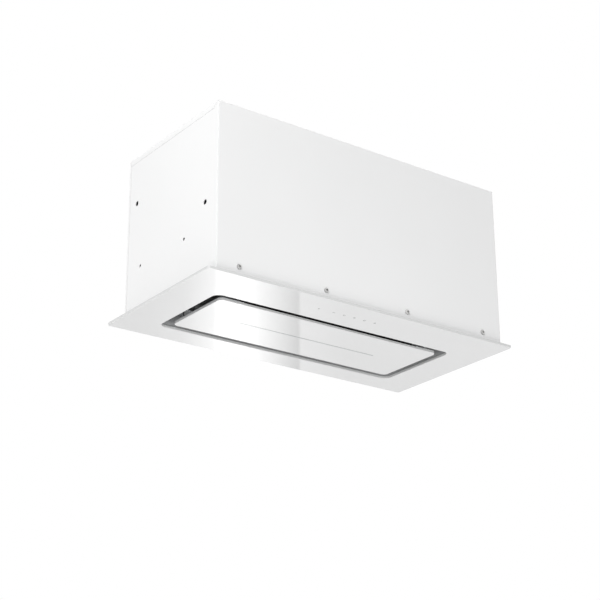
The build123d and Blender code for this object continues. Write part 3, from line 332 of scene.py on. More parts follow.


# A piece takes the finish that its coat is named after
def placePiece(name, data, coatName, replaced=(), body="housing", slotted=True):
    data.shade_smooth()
    data.set_sharp_from_angle(angle=radians(35))
    data.materials.clear()
    data.materials.append(finishes[coatName])
    piece = linkObject(name, data)
    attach(piece, body)
    if replaced:
        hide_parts(*replaced)
    return piece


def savePiece(name, form, *said, **more):
    bmesh.ops.remove_doubles(form, verts=form.verts, dist=0.0005 * mm)
    bmesh.ops.recalc_face_normals(form, faces=form.faces)
    return placePiece(name, asMesh(name, form), *said, **more)


def roundEdges(form, edges, size, segments=2, clamped=False):
    bmesh.ops.bevel(form, geom=edges, offset=size * mm, segments=segments, profile=0.5, affect="EDGES",
                    material=-1, clamp_overlap=clamped)


# Four points set in from the corners of a rectangle
def fourCorners(low, high, inset):
    return [(first, second) for first in (low[0] + inset, high[0] - inset)
            for second in (low[1] + inset, high[1] - inset)]


# Rounds the edges that lie level, above a height
def roundLevelEdges(form, size, above=0):
    roundEdges(form, [edge for edge in form.edges if abs(edge.verts[0].co.z - edge.verts[1].co.z) < 1e-6
                      and edge.verts[0].co.z > above * mm], size)


# Block between two corners, its edges rounded
def addBlock(form, low, high, edge=0, segments=2, turn=None):
    low, high = Vector(low) * mm, Vector(high) * mm
    shape = Matrix.Translation((low + high) / 2) @ Matrix.Diagonal((*(high - low), 1))
    made = bmesh.ops.create_cube(form, size=1, matrix=(turn or Matrix()) @ shape)
    if edge:
        edges = list({link for vert in made["verts"] for link in vert.link_edges})
        roundEdges(form, edges, edge, segments, True)


# The same, from its middle and its size
def addSlab(form, middle, size, edge=0, segments=2, turn=None):
    middle, half = Vector(middle), Vector(size) / 2
    addBlock(form, middle - half, middle + half, edge, segments, turn)


# Straight rod with its middle at the place, along the place's own Z axis
def addRod(form, radius, depth, place, segments=32):
    bmesh.ops.create_cone(form, cap_ends=True, segments=segments, radius1=radius * mm, radius2=radius * mm,
                          depth=depth * mm, matrix=place)


# Turned shape: a line of (radius, height) points spun once round the place's own Z axis
def addTurned(form, profile, place, steps=32):
    verts = [form.verts.new(place @ Vector((radius * mm, 0, height * mm))) for radius, height in profile]
    edges = [form.edges.new(pair) for pair in zip(verts, verts[1:])]
    before = set(form.verts) - set(verts)
    bmesh.ops.spin(form, geom=verts + edges, cent=place.translation, axis=place.to_3x3() @ Vector((0, 0, 1)),
                   angle=2 * pi, steps=steps, use_merge=True)
    made = [vert for vert in form.verts if vert not in before]
    bmesh.ops.remove_doubles(form, verts=made, dist=0.0005 * mm)


def turnedForm(profile, place, steps=32):
    form = bmesh.new()
    addTurned(form, profile, place, steps)
    return form


# Points of a quarter round that ends a profile's outer wall at this radius and height
def quarterRound(radius, height, bend):
    return [(radius - bend + bend * cos(step * pi / 10), height - bend + bend * sin(step * pi / 10))
            for step in range(1, 6)]


# Takes the tool's shape away from a form, and gives back a new form
def cutAway(form, tool):
    holders = []
    for part in (form, tool):
        bmesh.ops.recalc_face_normals(part, faces=part.faces)
        holders.append(linkObject("cut_work", asMesh("cut_work", part)))
    cut = holders[0].modifiers.new("cut", "BOOLEAN")
    cut.object, cut.operation, cut.solver = holders[1], "DIFFERENCE", "EXACT"
    cut.use_self = True
    result = bpy.data.meshes.new_from_object(holders[0].evaluated_get(bpy.context.evaluated_depsgraph_get()))
    left = bmesh.new()
    left.from_mesh(result)
    for data in [holder.data for holder in holders] + [result]:
        bpy.data.meshes.remove(data)
    return left


# Pan-head screws with a tapered cross recess; place is each head's underside, its axis out of the head
print("screws")
screw = {"headLine": ((0, 1), (0.35, 0.97), (0.62, 0.87), (0.82, 0.68), (0.95, 0.40), (1, 0.16), (0.97, 0)),
         "neck": 0.3, "root": 0.84, "point": 0.55, "plainEnd": 1.6, "steps": 28, "crossLong": 0.66,
         "crossWide": 0.21, "crossUp": 1.1, "crossDeep": 0.95, "taper": 0.4, "slant": 0.8, "turned": 1.36}
screwSizes = {  # head's radius and height, shank's radius and length, pitch
    "frame": (4, 2.4, 2, 8, 0.8), "small": (3, 1.8, 1.5, 6, 0.7), "motor": (4, 2.4, 2, 10, 0.8),
    "lid": (2.8, 1.4, 1.4, 6, 0.7), "clamp": (2.1, 0.9, 1.5, 4, 0.7)}


def crossScrew(size):
    head, dome, shank, length, pitch = screwSizes[size]
    profile = [(share * head, rise * dome) for share, rise in screw["headLine"]] + [(shank, 0)]
    turns = int((length - screw["plainEnd"]) / pitch)
    for turn in range(turns):
        profile += [(shank, -turn * pitch - screw["neck"]),
                    (screw["root"] * shank, -(turn + 0.5) * pitch - screw["neck"])]
    profile += [(shank, -turns * pitch - screw["neck"]), (screw["point"] * shank, -length), (0, -length)]
    form = turnedForm(profile, Matrix(), screw["steps"])
    long, wide = head * screw["crossLong"], head * screw["crossWide"]
    low, high = (dome * (screw["crossUp"] + end * screw["crossDeep"]) for end in (-1, 1))
    for crossed in (False, True):
        tool = bmesh.new()
        addBlock(tool, (-long, -wide, low), (long, wide, high), turn=spun(crossed * pi / 2))
        for vert in tool.verts:
            if vert.co.z < dome * mm:
                vert.co.x *= screw["slant"] if crossed else screw["taper"]
                vert.co.y *= screw["taper"] if crossed else screw["slant"]
        form = cutAway(form, tool)
    return asMesh("screw_unit", form)


def screwSet(name, unit, places, *replaced):
    form = bmesh.new()
    for index, place in enumerate(places):
        start = len(form.verts)
        form.from_mesh(unit)
        form.verts.ensure_lookup_table()
        spin = spun(screw["turned"] + 0.3 * (index % 3 - 1))
        bmesh.ops.transform(form, matrix=place @ spin, verts=form.verts[start:])
    savePiece(name, form, "screw_steel", replaced)


# Places come from the CAD nodes' own boxes
casing = {"front": boxOf("front_wrap")[0].y, "back": boxOf("back_panel")[1].y, "top": boxOf("top_panel")[1].z,
          "screwZ": 11.5, "screwPitch": 150.6}
spigot = {"y": 28, "plate": 2.5, "screwRadius": 78.5}
blower = {"y": -34.25, "z": 148}
frontTurn, backTurn = spun(pi / 2, "X"), spun(-pi / 2, "X")
rightTurn, leftTurn = spun(pi / 2, "Y"), spun(-pi / 2, "Y")
frameScrew = crossScrew("frame")
headRadius = screwSizes["frame"][0]
screwXs = [(index - 1.5) * casing["screwPitch"] for index in range(4)]
for end, turn in (("front", frontTurn), ("rear", backTurn)):
    wall = casing["front" if end == "front" else "back"]
    screwSet(end + "_pan_screws", frameScrew, [inPlace(x, wall, casing["screwZ"]) @ turn for x in screwXs],
             end + "_screws")
scrollLow, scrollHigh = boxOf("scroll_screws")
screwSet("scroll_pan_screws", frameScrew,
         [inPlace(x, y, casing["top"]) for x, y in fourCorners(scrollLow, scrollHigh, headRadius)],
         "scroll_screws")
screwSet("spigot_pan_screws", crossScrew("small"),
         [inPlace(spigot["screwRadius"] * cos(quarter * pi / 2),
                  spigot["y"] + spigot["screwRadius"] * sin(quarter * pi / 2),
                  casing["top"] + spigot["plate"]) for quarter in range(4)], "spigot_screws")
armFace = boxOf("motor_bracket")[0].x
mountCircle = boxOf("motor_screws")[1].z - headRadius - blower["z"]
screwSet("motor_pan_screws", crossScrew("motor"),
         [inPlace(armFace, blower["y"] + mountCircle * cos(radians(angle)),
                  blower["z"] + mountCircle * sin(radians(angle))) @ leftTurn for angle in (90, 210, 330)],
         "motor_screws")

# Touch marks printed on the glass: flat signs about 4 mm across. A ring has its middle's x, its radius and
# half the angle of a gap at its top; a bar its middle's x and its way up, its length, turn and width.
print("touch marks")
mark = {"y": -100.4, "places": (-65.5, -38.5, -19.5, -0.5, 18.5, 37.5), "radius": 2.2, "line": 0.5,
        "bar": 0.8, "ink": 0.015, "gap": 32,
        "coat": coat((0.03, 0.03, 0.032), (0.05, 0.05, 0.052), 400, 3000, 0.004, (0.4, 0.55))}
powerX, lessX, slowX, moreX, clockX, lampX = mark["places"]
size, bar, line = mark["radius"], mark["bar"], mark["line"]
rings = ((powerX, size * 0.64, mark["gap"]), (slowX, size * 0.8, 0), (clockX, size, 0),
         (lampX, size * 0.6, 0))
bars = [(powerX, size * 0.4, size * 0.8, 90, bar), (lessX, 0, size * 2.3, 0, bar),
        (moreX, 0, size * 2, 0, bar), (clockX, size * 0.32, size * 0.6, 90, bar)]
bars += [(moreX, end * (size / 2 + bar / 4), size - bar / 2, 90, bar) for end in (-1, 1)]
bars += [(lampX + size * 0.86 * cos(ray * pi / 4), size * 0.86 * sin(ray * pi / 4), size * 0.4,
          ray * 45, line) for ray in range(8)]
marks = bmesh.new()
for x, radius, gap in rings:
    place = inPlace(x, mark["y"], 0)
    made = bmesh.ops.create_circle(marks, cap_ends=True, segments=36, radius=radius * mm, matrix=place)
    disc = list({face for vert in made["verts"] for face in vert.link_faces})
    band = bmesh.ops.inset_region(marks, faces=disc, thickness=line * mm, use_boundary=True,
                                  use_even_offset=True)
    bmesh.ops.delete(marks, geom=disc, context="FACES")
    opening = [face for face in band["faces"] if gap and
               (face.calc_center_median() - place.translation).normalized().y > cos(radians(gap))]
    bmesh.ops.delete(marks, geom=opening, context="FACES")
for x, up, length, angle, width in bars:
    turn = spun(radians(angle)) @ Matrix.Diagonal((length * mm, width * mm, 1, 1))
    bmesh.ops.create_grid(marks, x_segments=1, y_segments=1, size=0.5,
                          matrix=inPlace(x, mark["y"] + up, 0) @ turn)
ink = mark["ink"] * mm
bmesh.ops.translate(marks, verts=marks.verts, vec=(0, 0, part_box("glass_plate")[0].z - ink))
bmesh.ops.solidify(marks, geom=marks.faces, thickness=ink * 0.9)
finishes["grey_ink"] = makeFinish("grey_ink", grained, mark["coat"])
savePiece("touch_marks", marks, "grey_ink")

# Thin dark strips in the joints of the casing, just under its outer faces: painted shade of the gaps between
# the panels
print("casing joints")
joint = {"gap": 0.3, "filled": 0.48, "deep": 0.65, "sunk": 0.02, "topFlange": 8.5, "backFlange": 5.3,
         "mitre": 13, "foot": 0.5,
         "coat": coat((0.10, 0.10, 0.10), (0.14, 0.14, 0.14), 90, 1800, 0.02, (0.6, 0.75))}
joints = bmesh.new()
gap = joint["gap"]
startJoint = (casing["front"] + gap, casing["top"] - gap)
seamZ = casing["top"] - joint["topFlange"] + gap / 2
seamY = casing["back"] - joint["backFlange"] + gap / 2
bendJoint, meetJoint = (casing["front"] + joint["mitre"], seamZ), (seamY, seamZ)
legs = ((startJoint, bendJoint), (bendJoint, meetJoint),
        (meetJoint, (casing["back"] - gap, casing["top"] - gap)), (meetJoint, (seamY, joint["foot"])))
for side, corner in zip((-1, 1), boxOf("front_wrap")):
    outer = corner.x - side * joint["sunk"]
    inner = outer - side * joint["deep"]
    for start, end in legs:
        leg = Vector((0, end[0] - start[0], end[1] - start[1]))
        turn = inPlace(0, (start[0] + end[0]) / 2, (start[1] + end[1]) / 2) @ Vector(
            (0, 1, 0)).rotation_difference(leg.normalized()).to_matrix().to_4x4()
        half, thin = leg.length / 2, gap * joint["filled"]
        addBlock(joints, (min(outer, inner), -half, -thin), (max(outer, inner), half, thin), 0.05, 1, turn)
# painted shade: the dark coat of the joint strips
finishes["grey_sealant"] = makeFinish("grey_sealant", grained, joint["coat"])
savePiece("joint_sealant", joints, "grey_sealant")

# Grease filter: three layers of crimped expanded metal. Each has its height, the length and width of its
# openings and the thickness of its strands.
print("grease filter")
pack = {"layers": ((14.7, 9, 4.8, 0.62), (17.7, 7.4, 5.6, 0.5), (20.7, 9, 4.4, 0.55)),
        "crimp": 0.32, "notchHalf": 20.4, "notchBack": -12, "trim": 0.2}
packLow, packHigh = boxOf("filter_mesh")
packMiddle, packHalf = (packLow + packHigh) / 2, (packHigh - packLow) / 2
for index, (height, long, short, strand) in enumerate(pack["layers"]):
    layer = bmesh.new()
    cells = int(2 * (packHalf.x / long + packHalf.y / short)) + 4
    cells += cells % 2
    stretch = Matrix.Diagonal((long / 2, short / 2, 1, 1)) @ spun(pi / 4)
    stretch = stretch @ Matrix.Diagonal((2 ** 0.5, 2 ** 0.5, 1, 1))
    bmesh.ops.create_grid(layer, x_segments=cells, y_segments=cells, size=cells / 2 * mm,
                          matrix=inPlace(packMiddle.x, packMiddle.y, height) @ stretch)
    for axis, end in ((0, -1), (0, 1), (1, -1), (1, 1)):
        out, edge = Vector((0, 0, 0)), packMiddle.copy()
        out[axis] = end
        edge[axis] += end * (packHalf[axis] - pack["trim"])
        bmesh.ops.bisect_plane(layer, geom=layer.verts[:] + layer.edges[:] + layer.faces[:], dist=1e-7,
                               plane_co=edge * mm, plane_no=out, clear_outer=True)
    notch = [face for face in layer.faces if abs(face.calc_center_median().x) < pack["notchHalf"] * mm
             and face.calc_center_median().y < pack["notchBack"] * mm]
    bmesh.ops.delete(layer, geom=notch, context="FACES")
    for vert in layer.verts:
        vert.co.z += pack["crimp"] * mm * sin(vert.co.x / mm * pi / long * 2 + index)
    bmesh.ops.wireframe(layer, faces=layer.faces, thickness=strand * mm, use_replace=True, use_boundary=True,
                        use_even_offset=False)
    savePiece(f"filter_layer_{index + 1}", layer, "filter_pack", () if index else ("filter_mesh",))

# Latch spring: a wound wire, fixed at its rear end
spring = {"turns": 11, "wire": 0.25, "rise": 8, "outset": 1.08, "fixedEnd": -16.3, "keep": 9 / 14}
springLow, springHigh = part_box("latch_spring")
springMiddle = (springLow + springHigh) / 2
wire = spring["wire"] * mm
coilRadius = ((springHigh.x - springLow.x) / 2 - wire) * spring["outset"]
coilData = bpy.data.curves.new("latch_coil_line", "CURVE")
coilData.dimensions = "3D"
coilLine = coilData.splines.new("NURBS")
coilSteps = spring["turns"] * spring["rise"]
coilLine.points.add(coilSteps)
for step, point in enumerate(coilLine.points):
    turn = step / spring["rise"] * 2 * pi
    along = springLow.y + wire + (springHigh.y - springLow.y - 2 * wire) * (step / coilSteps)
    point.co = (springMiddle.x + coilRadius * cos(turn), along, springMiddle.z + coilRadius * sin(turn), 1)
coilLine.order_u = 4
coilLine.use_endpoint_u = True
coilLine.resolution_u = 3
coilData.bevel_depth = wire
coilData.bevel_resolution = 2
coilData.use_fill_caps = True
coilHolder = linkObject("latch_coil_line", coilData)
coilMesh = bpy.data.meshes.new_from_object(coilHolder.evaluated_get(bpy.context.evaluated_depsgraph_get()))
bpy.data.objects.remove(coilHolder)
coil = placePiece("latch_coil", coilMesh, "spring_steel", ("latch_spring",))
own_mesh(coil)

# Cable gland: hexagon, fluted cap with a rubber seal, threaded sleeve and its nut
print("cable gland")
gland = {"x": -200, "y": 70, "hex": 12, "hexTall": 5, "cap": 10, "capTall": 7, "bend": 2.5,
         "bore": 4.5, "mouth": 5.8, "thread": 8, "root": 0.93, "pitch": 1.5, "ridges": 6, "sleeve": 9,
         "nutTall": 4, "nutDown": 1, "flutes": 24, "fluteDeep": 0.94}
glandPlace = inPlace(gland["x"], gland["y"], casing["top"])
hexTop, cap, thread, bore = (gland[key] for key in ("hexTall", "cap", "thread", "bore"))
root, mouth, pitch, bend = thread * gland["root"], gland["mouth"], gland["pitch"], gland["bend"]
capTop, sleeveEnd = hexTop + gland["capTall"], -gland["sleeve"] - 1
hexForm = bmesh.new()
addRod(hexForm, gland["hex"], hexTop, glandPlace @ inPlace(0, 0, hexTop / 2) @ spun(pi / 6), 6)
roundLevelEdges(hexForm, 0.7, casing["top"] + 1)
profile = [(bore, sleeveEnd), (root, sleeveEnd)]
for ridge in range(gland["ridges"]):
    profile += [(thread, sleeveEnd + 0.6 + ridge * pitch), (root, sleeveEnd + 1.35 + ridge * pitch)]
profile += [(root, 0.2), (root, hexTop - 0.5), (cap - 0.8, hexTop - 0.4), (cap - 0.8, hexTop + 0.4),
            (cap, hexTop + 0.7), (cap, capTop - 2.8)] + quarterRound(cap, capTop, bend)
profile += [(mouth + 0.3, capTop), (mouth, capTop - 0.5), (mouth, capTop - 4), (bore, capTop - 4),
            (bore, sleeveEnd + 0.1)]
capForm = turnedForm(profile + [profile[0]], glandPlace, gland["flutes"] * 2)
for vert in capForm.verts:  # every second column of the cap's wall is drawn in
    arm = vert.co - glandPlace.translation
    if hexTop + 0.6 < arm.z / mm < capTop - 2.6 and arm.xy.length > (cap - 0.3) * mm:
        column = round(arm.xy.angle_signed(Vector((1, 0))) / (pi / gland["flutes"]))
        if column % 2:
            vert.co.xy = glandPlace.translation.xy + arm.xy * gland["fluteDeep"]
savePiece("gland_hexagon", hexForm, "black_plastic")
savePiece("gland_cap", capForm, "black_plastic", ("cable_gland",))
sealTop = capTop - 0.3
profile = [(bore, sealTop - 3.6), (5.75, sealTop - 3.6), (5.75, sealTop - 0.4), (5.3, sealTop),
           (4.9, sealTop), (bore, sealTop - 0.4), (bore, sealTop - 3.6)]
savePiece("gland_seal", turnedForm(profile, glandPlace), "grommet_rubber")
nut, nutHole = newForms(2)
addRod(nut, gland["hex"], gland["nutTall"],
       glandPlace @ inPlace(0, 0, -gland["nutDown"] - gland["nutTall"] / 2), 6)
roundLevelEdges(nut, 0.5)
addRod(nutHole, thread, 12, glandPlace @ inPlace(0, 0, -3), 48)
savePiece("gland_back_nut", cutAway(nut, nutHole), "black_plastic", ("gland_nut",))

# Near-black strip along the front of the panel's tray, dark in the front slot, and its bead over the glass
# edge
print("panel seal")
seal = {"half": 161.5, "thick": 1.5, "bottom": 2.3, "round": 0.5, "beadDown": 0.7, "beadUp": 0.4,
        "beadOut": 0.03,
        "coat": coat((0.006, 0.006, 0.006), (0.012, 0.012, 0.012), 300, 1400, 0.12, (0.82, 0.95))}
(trayLow, trayHigh), (panelLow, panelHigh) = boxOf("panel_tray"), boxOf("panel_glass")
strip = bmesh.new()
sealHalf = seal["half"]
addBlock(strip, (-sealHalf, trayLow.y - seal["thick"], seal["bottom"]),
         (sealHalf, trayLow.y, trayHigh.z), seal["round"])
addBlock(strip, (-sealHalf, panelLow.y - seal["beadOut"], panelHigh.z - seal["beadDown"]),
         (sealHalf, trayLow.y, panelHigh.z + seal["beadUp"]), 0.1, 1)
finishes["black_foam"] = makeFinish("black_foam", grained, seal["coat"])
savePiece("panel_foam_strip", strip, "black_foam", body="panel")

# Control board: bare board with relays, film and can capacitors, a controller, plugs and solder joints
print("control board")
board = {"thick": 1.6, "holeIn": 4, "hole": 1.6, "relays": ((150, 79), (200, 115)), "relay": (30, 22, 22),
         "films": ((178, 75), (192, 75), (206, 75)), "film": (10, 20, 16),
         "cans": ((141, 116, 4, 11), (141, 130, 5, 13), (226, 100, 4, 11)),
         "chip": (172, 122, 10, 10), "chipTall": 1.6, "legs": 8, "legPitch": 1.1,
         "plugs": ((131, 67, 20), (154, 67, 14), (190, 67, 32)), "plug": (7, 8.5), "pinPitch": 2.5,
         "joint": 0.9, "jointIn": 10, "jointGrid": (20, 9), "jointPitch": (4.8, 7.5), "resistor": 1.2,
         "resistors": ((160, 110), (160, 115), (160, 135), (220, 85), (220, 91), (222, 140))}
boardLow, boardHigh = boxOf("control_board")
thickness = board["thick"]
face = boardHigh.y - thickness
plate, drill = newForms(2)
addBlock(plate, (boardLow.x, face, boardLow.z), (boardHigh.x, face + thickness, boardHigh.z), 0.2, 1)
for x, z in fourCorners(boardLow.xz, boardHigh.xz, board["holeIn"]):
    addRod(drill, board["hole"], 6, inPlace(x, face, z) @ frontTurn, 24)
savePiece("board_plate", cutAway(plate, drill), "circuit_board", ("control_board",))
relays, films, plugs, leads, chips, sleeves, canTops = newForms(7)
wide, tall, deep = board["relay"]
for x, z in board["relays"]:
    addBlock(relays, (x - wide / 2, face - deep + 0.6, z), (x + wide / 2, face - 0.6, z + tall), 1.1, 3)
    addBlock(relays, (x - wide / 2 + 3, face - deep, z + 3),
             (x + wide / 2 - 3, face - deep + 1.2, z + tall - 3), 0.4)
wide, tall, deep = board["film"]
for x, z in board["films"]:
    addBlock(films, (x - wide / 2, face - deep, z), (x + wide / 2, face - 0.4, z + tall), 0.9, 3)
tall, deep = board["plug"]
for x, z, wide in board["plugs"]:
    shell, room = newForms(2)
    addBlock(shell, (x, face - deep, z), (x + wide, face, z + tall), 0.4)
    addBlock(room, (x + 1, face - deep - 1, z + 1), (x + wide - 1, face - 2, z + tall - 1))
    addBlock(room, (x + wide / 2 - 2, face - deep - 1, z + tall - 2),
             (x + wide / 2 + 2, face - 4, z + tall + 1))
    plugs.from_mesh(asMesh("plug_work", cutAway(shell, room)))
    for pin in range(int((wide - 3) / board["pinPitch"]) + 1):
        along = x + 2 + pin * board["pinPitch"]
        addBlock(leads, (along - 0.3, face - deep + 1.5, z + tall / 2 - 0.3),
                 (along + 0.3, face - 1.9, z + tall / 2 + 0.3), 0.12, 1)
x, z, wide, tall = board["chip"]
addBlock(chips, (x, face - board["chipTall"], z), (x + wide, face - 0.1, z + tall), 0.25)
for leg in range(board["legs"]):
    along = 1.15 + leg * board["legPitch"]
    for middleX, middleZ, sizeX, sizeZ in (
            (x + along, z - 0.6, 0.4, 1.6), (x + along, z + tall + 0.6, 0.4, 1.6),
            (x - 0.6, z + along, 1.6, 0.4), (x + wide + 0.6, z + along, 1.6, 0.4)):
        addSlab(leads, (middleX, face - 0.4, middleZ), (sizeX, 0.8, sizeZ), 0.12, 1)
resistor = board["resistor"]
for x, z in board["resistors"]:
    place = inPlace(x, face - resistor * 1.2, z) @ rightTurn
    addTurned(films, [(0, -4), (resistor, -4), (resistor * 1.15, -3), (resistor, -2), (resistor, 2),
                      (resistor * 1.15, 3), (resistor, 4), (0, 4)], place, 16)
    for end in (-5.2, 4):
        addTurned(leads, [(0, end), (0.3, end), (0.3, end + 1.2), (0, end + 1.2)], place, 8)
solder, inset = board["joint"], board["jointIn"]
(columns, rows), (pitchX, pitchZ) = board["jointGrid"], board["jointPitch"]
for column in range(columns):
    for row in range(rows):
        if (column * 7 + row * 5) % 3 == 0:  # a scattered third of the grid
            addTurned(leads, [(0, 0), (solder, 0), (solder * 0.5, 0.35), (solder * 0.25, 1.1), (0, 1.1)],
                      inPlace(boardLow.x + inset + column * pitchX, face + thickness,
                              boardLow.z + inset + row * pitchZ) @ backTurn, 8)
for x, z, radius, tall in board["cans"]:
    place, lip = inPlace(x, face, z) @ frontTurn, radius - 0.9
    addTurned(sleeves, [(0, 0.2), (radius - 0.4, 0.2), (radius, 0.8), (radius, 1.6), (radius - 0.45, 2),
                        (radius, 2.4), (radius, tall - 0.6), (radius - 0.5, tall), (lip, tall),
                        (lip, tall - 0.3), (0, tall - 0.3)], place)
    addTurned(canTops, [(0, tall - 0.28), (lip - 0.1, tall - 0.28), (lip - 0.1, tall - 0.12),
                        (0, tall - 0.05)], place)
for name, form, coatName in (
        ("board_relays", relays, "relay_case"), ("board_film_parts", films, "film_resin"),
        ("board_plugs", plugs, "white_plastic"), ("board_leads", leads, "tin_solder"),
        ("board_controller", chips, "black_plastic"), ("board_can_sleeves", sleeves, "black_plastic"),
        ("board_can_tops", canTops, "capacitor_can")):
    savePiece(name, form, coatName, slotted=False)

# Lid of the control box: rounded edges, two rows of air slots and four screws
print("control lid")
lid = {"slots": 9, "pitch": 9, "slot": (3, 16), "rows": (88, 122), "screwIn": 7}
lidLow, lidHigh = boxOf("control_lid")
lidMiddle = (lidLow + lidHigh) / 2
lidForm, airSlots = newForms(2)
addBlock(lidForm, lidLow, lidHigh, 0.8, 3)
slotWide, slotTall = lid["slot"]
for row in lid["rows"]:
    for index in range(lid["slots"]):
        x = lidMiddle.x + (index - (lid["slots"] - 1) / 2) * lid["pitch"]
        addSlab(airSlots, (x, lidMiddle.y, row), (slotWide, lidHigh.y - lidLow.y + 4, slotTall), 1.2, 3)
savePiece("control_lid_slotted", cutAway(lidForm, airSlots), "white_plastic", ("control_lid",))
screwSet("control_lid_screws", crossScrew("lid"),
         [inPlace(x, lidLow.y, z) @ frontTurn
          for x, z in fourCorners(lidLow.xz, lidHigh.xz, lid["screwIn"])])

# Terminal block: four poles with two clamp screws each and wire ways through them
print("terminal block")
pole = {"xs": (-215, -205, -195, -185), "ys": (65, 75), "middle": 70, "half": 4.5, "step": 8,
        "webHalf": 2, "webTall": 5, "wayRadius": 2.1, "wayUp": 4, "chimney": (2.3, 3.5), "sink": 3,
        "clampHalf": 7.5}
(leftEnd, front, bottom), (rightEnd, back, top) = boxOf("terminal_block")
poles, ways, chimneys, clamps = newForms(4)
stepZ = bottom + pole["step"]
middle, half, way = pole["middle"], pole["half"], pole["wayRadius"]
inner, outer = pole["chimney"]
addBlock(poles, (leftEnd, middle - pole["webHalf"], bottom),
         (rightEnd, middle + pole["webHalf"], bottom + pole["webTall"]), 0.4)
for x in pole["xs"]:
    addBlock(poles, (x - half, front, bottom), (x + half, back, stepZ), 0.8, 3)
    for y in pole["ys"]:
        addRod(ways, inner, 8, inPlace(x, y, stepZ))
        addTurned(chimneys, [(inner, stepZ - 0.5), (outer, stepZ - 0.5), (outer, top - 0.6),
                             (outer - 0.4, top), (inner + 0.3, top), (inner, top - 0.3),
                             (inner, stepZ - 0.5)], inPlace(x, y, 0))
    wayPlace = inPlace(x, middle, bottom + pole["wayUp"]) @ frontTurn
    addRod(ways, way, 30, wayPlace)
    tube, end = way - 0.1, pole["clampHalf"]
    addTurned(clamps, [(tube * 0.8, -end), (tube, -end), (tube, end), (tube * 0.8, end), (tube * 0.8, -end)],
              wayPlace, 24)
savePiece("terminal_poles", cutAway(poles, ways), "white_plastic", ("terminal_block",))
savePiece("terminal_chimneys", chimneys, "white_plastic")
savePiece("terminal_clamps", clamps, "brass_clamp")
screwSet("terminal_screws", crossScrew("clamp"),
         [inPlace(x, y, top - pole["sink"]) for x in pole["xs"] for y in pole["ys"]])

# Lamp driver: slotted plastic case with a parting line and screw ears
print("lamp driver")
driver = {"ear": 12, "earDeep": 3, "earUp": 7, "slots": 11, "pitch": 7.5, "slot": (2.6, 13),
          "deep": 1.2, "parting": 6, "line": 0.25, "hole": 2.2}
(leftEnd, front, bottom), (rightEnd, back, top) = boxOf("led_driver")
case, cuts, ears, earHoles = newForms(4)
left, right = leftEnd + driver["ear"], rightEnd - driver["ear"]
addBlock(case, (left, front, bottom), (right, back, top), 1.8, 4)
middleZ = (bottom + top) / 2
slotWide, slotTall = driver["slot"]
for index in range(driver["slots"]):
    x = (left + right) / 2 + (index - (driver["slots"] - 1) / 2) * driver["pitch"]
    addBlock(cuts, (x - slotWide / 2, front - 2, middleZ - slotTall / 2),
             (x + slotWide / 2, front + driver["deep"], middleZ + slotTall / 2), 0.5)
near, far = (front + driver["parting"] + side * driver["line"] for side in (-1, 1))
for lowX, highX, lowZ, highZ in ((left - 1, right + 1, bottom - 1, bottom + 0.5),
                                 (left - 1, right + 1, top - 0.5, top + 1),
                                 (left - 1, left + 0.5, bottom - 1, top + 1),
                                 (right - 0.5, right + 1, bottom - 1, top + 1)):
    addBlock(cuts, (lowX, near, lowZ), (highX, far, highZ))
savePiece("lamp_driver_case", cutAway(case, cuts), "white_plastic", ("led_driver",))
for low, high in ((leftEnd, left + 1), (right - 1, rightEnd)):
    addBlock(ears, (low, back - driver["earDeep"], bottom + driver["earUp"]),
             (high, back, top - driver["earUp"]), 0.9, 3)
for x in (leftEnd + driver["ear"] / 2, rightEnd - driver["ear"] / 2):
    addRod(earHoles, driver["hole"], 14, inPlace(x, back, middleZ) @ frontTurn)
savePiece("lamp_driver_ears", cutAway(ears, earHoles), "white_plastic")

# Run capacitor: can with a rolled rim, a resin top and two pairs of blades
print("run capacitor")
can = {"radius": 14, "can": 47, "rim": 1.6, "blade": (0.8, 6.3), "bladeAt": 5, "bladeIn": 1.6,
       "bladeHole": 0.8, "holeIn": 2.6}
canLow, canHigh = boxOf("capacitor")
canMiddle = (canLow + canHigh) / 2
canPlace = inPlace(canLow.x, canMiddle.y, canMiddle.z) @ rightTurn
radius, tall, rim = can["radius"], can["can"], can["radius"] - can["rim"]
savePiece("capacitor_shell",
          turnedForm([(0, 0.6), (radius - 4, 0.6), (radius - 3, 0), (radius - 1.5, 0), (radius - 0.4, 0.5),
                      (radius, 1.5), (radius, tall - 5), (radius - 0.9, tall - 4.2),
                      (radius - 0.9, tall - 3.6), (radius, tall - 2.8), (radius, tall - 0.5),
                      (radius - 0.5, tall), (rim, tall), (rim, tall - 1), (0, tall - 1)], canPlace, 64),
          "capacitor_can", ("capacitor",))
savePiece("capacitor_resin",
          turnedForm([(0, tall - 0.98), (rim - 0.1, tall - 0.98), (rim - 0.1, tall - 0.6),
                      (radius - 4, tall - 0.3), (0, tall - 0.3)], canPlace, 64),
          "black_plastic", slotted=False)
blades, bladeHoles = newForms(2)
bladeThick, bladeWide = can["blade"]
for side in (-1, 1):
    for offset in (-can["bladeIn"], can["bladeIn"]):
        y, z = canMiddle.y + side * can["bladeAt"] + offset, canMiddle.z
        addBlock(blades, (canLow.x + tall - 0.8, y - bladeThick / 2, z - bladeWide / 2),
                 (canHigh.x, y + bladeThick / 2, z + bladeWide / 2), 0.25)
        addRod(bladeHoles, can["bladeHole"], 3, inPlace(canHigh.x - can["holeIn"], y, z) @ frontTurn, 20)
savePiece("capacitor_blades", cutAway(blades, bladeHoles), "tin_solder")

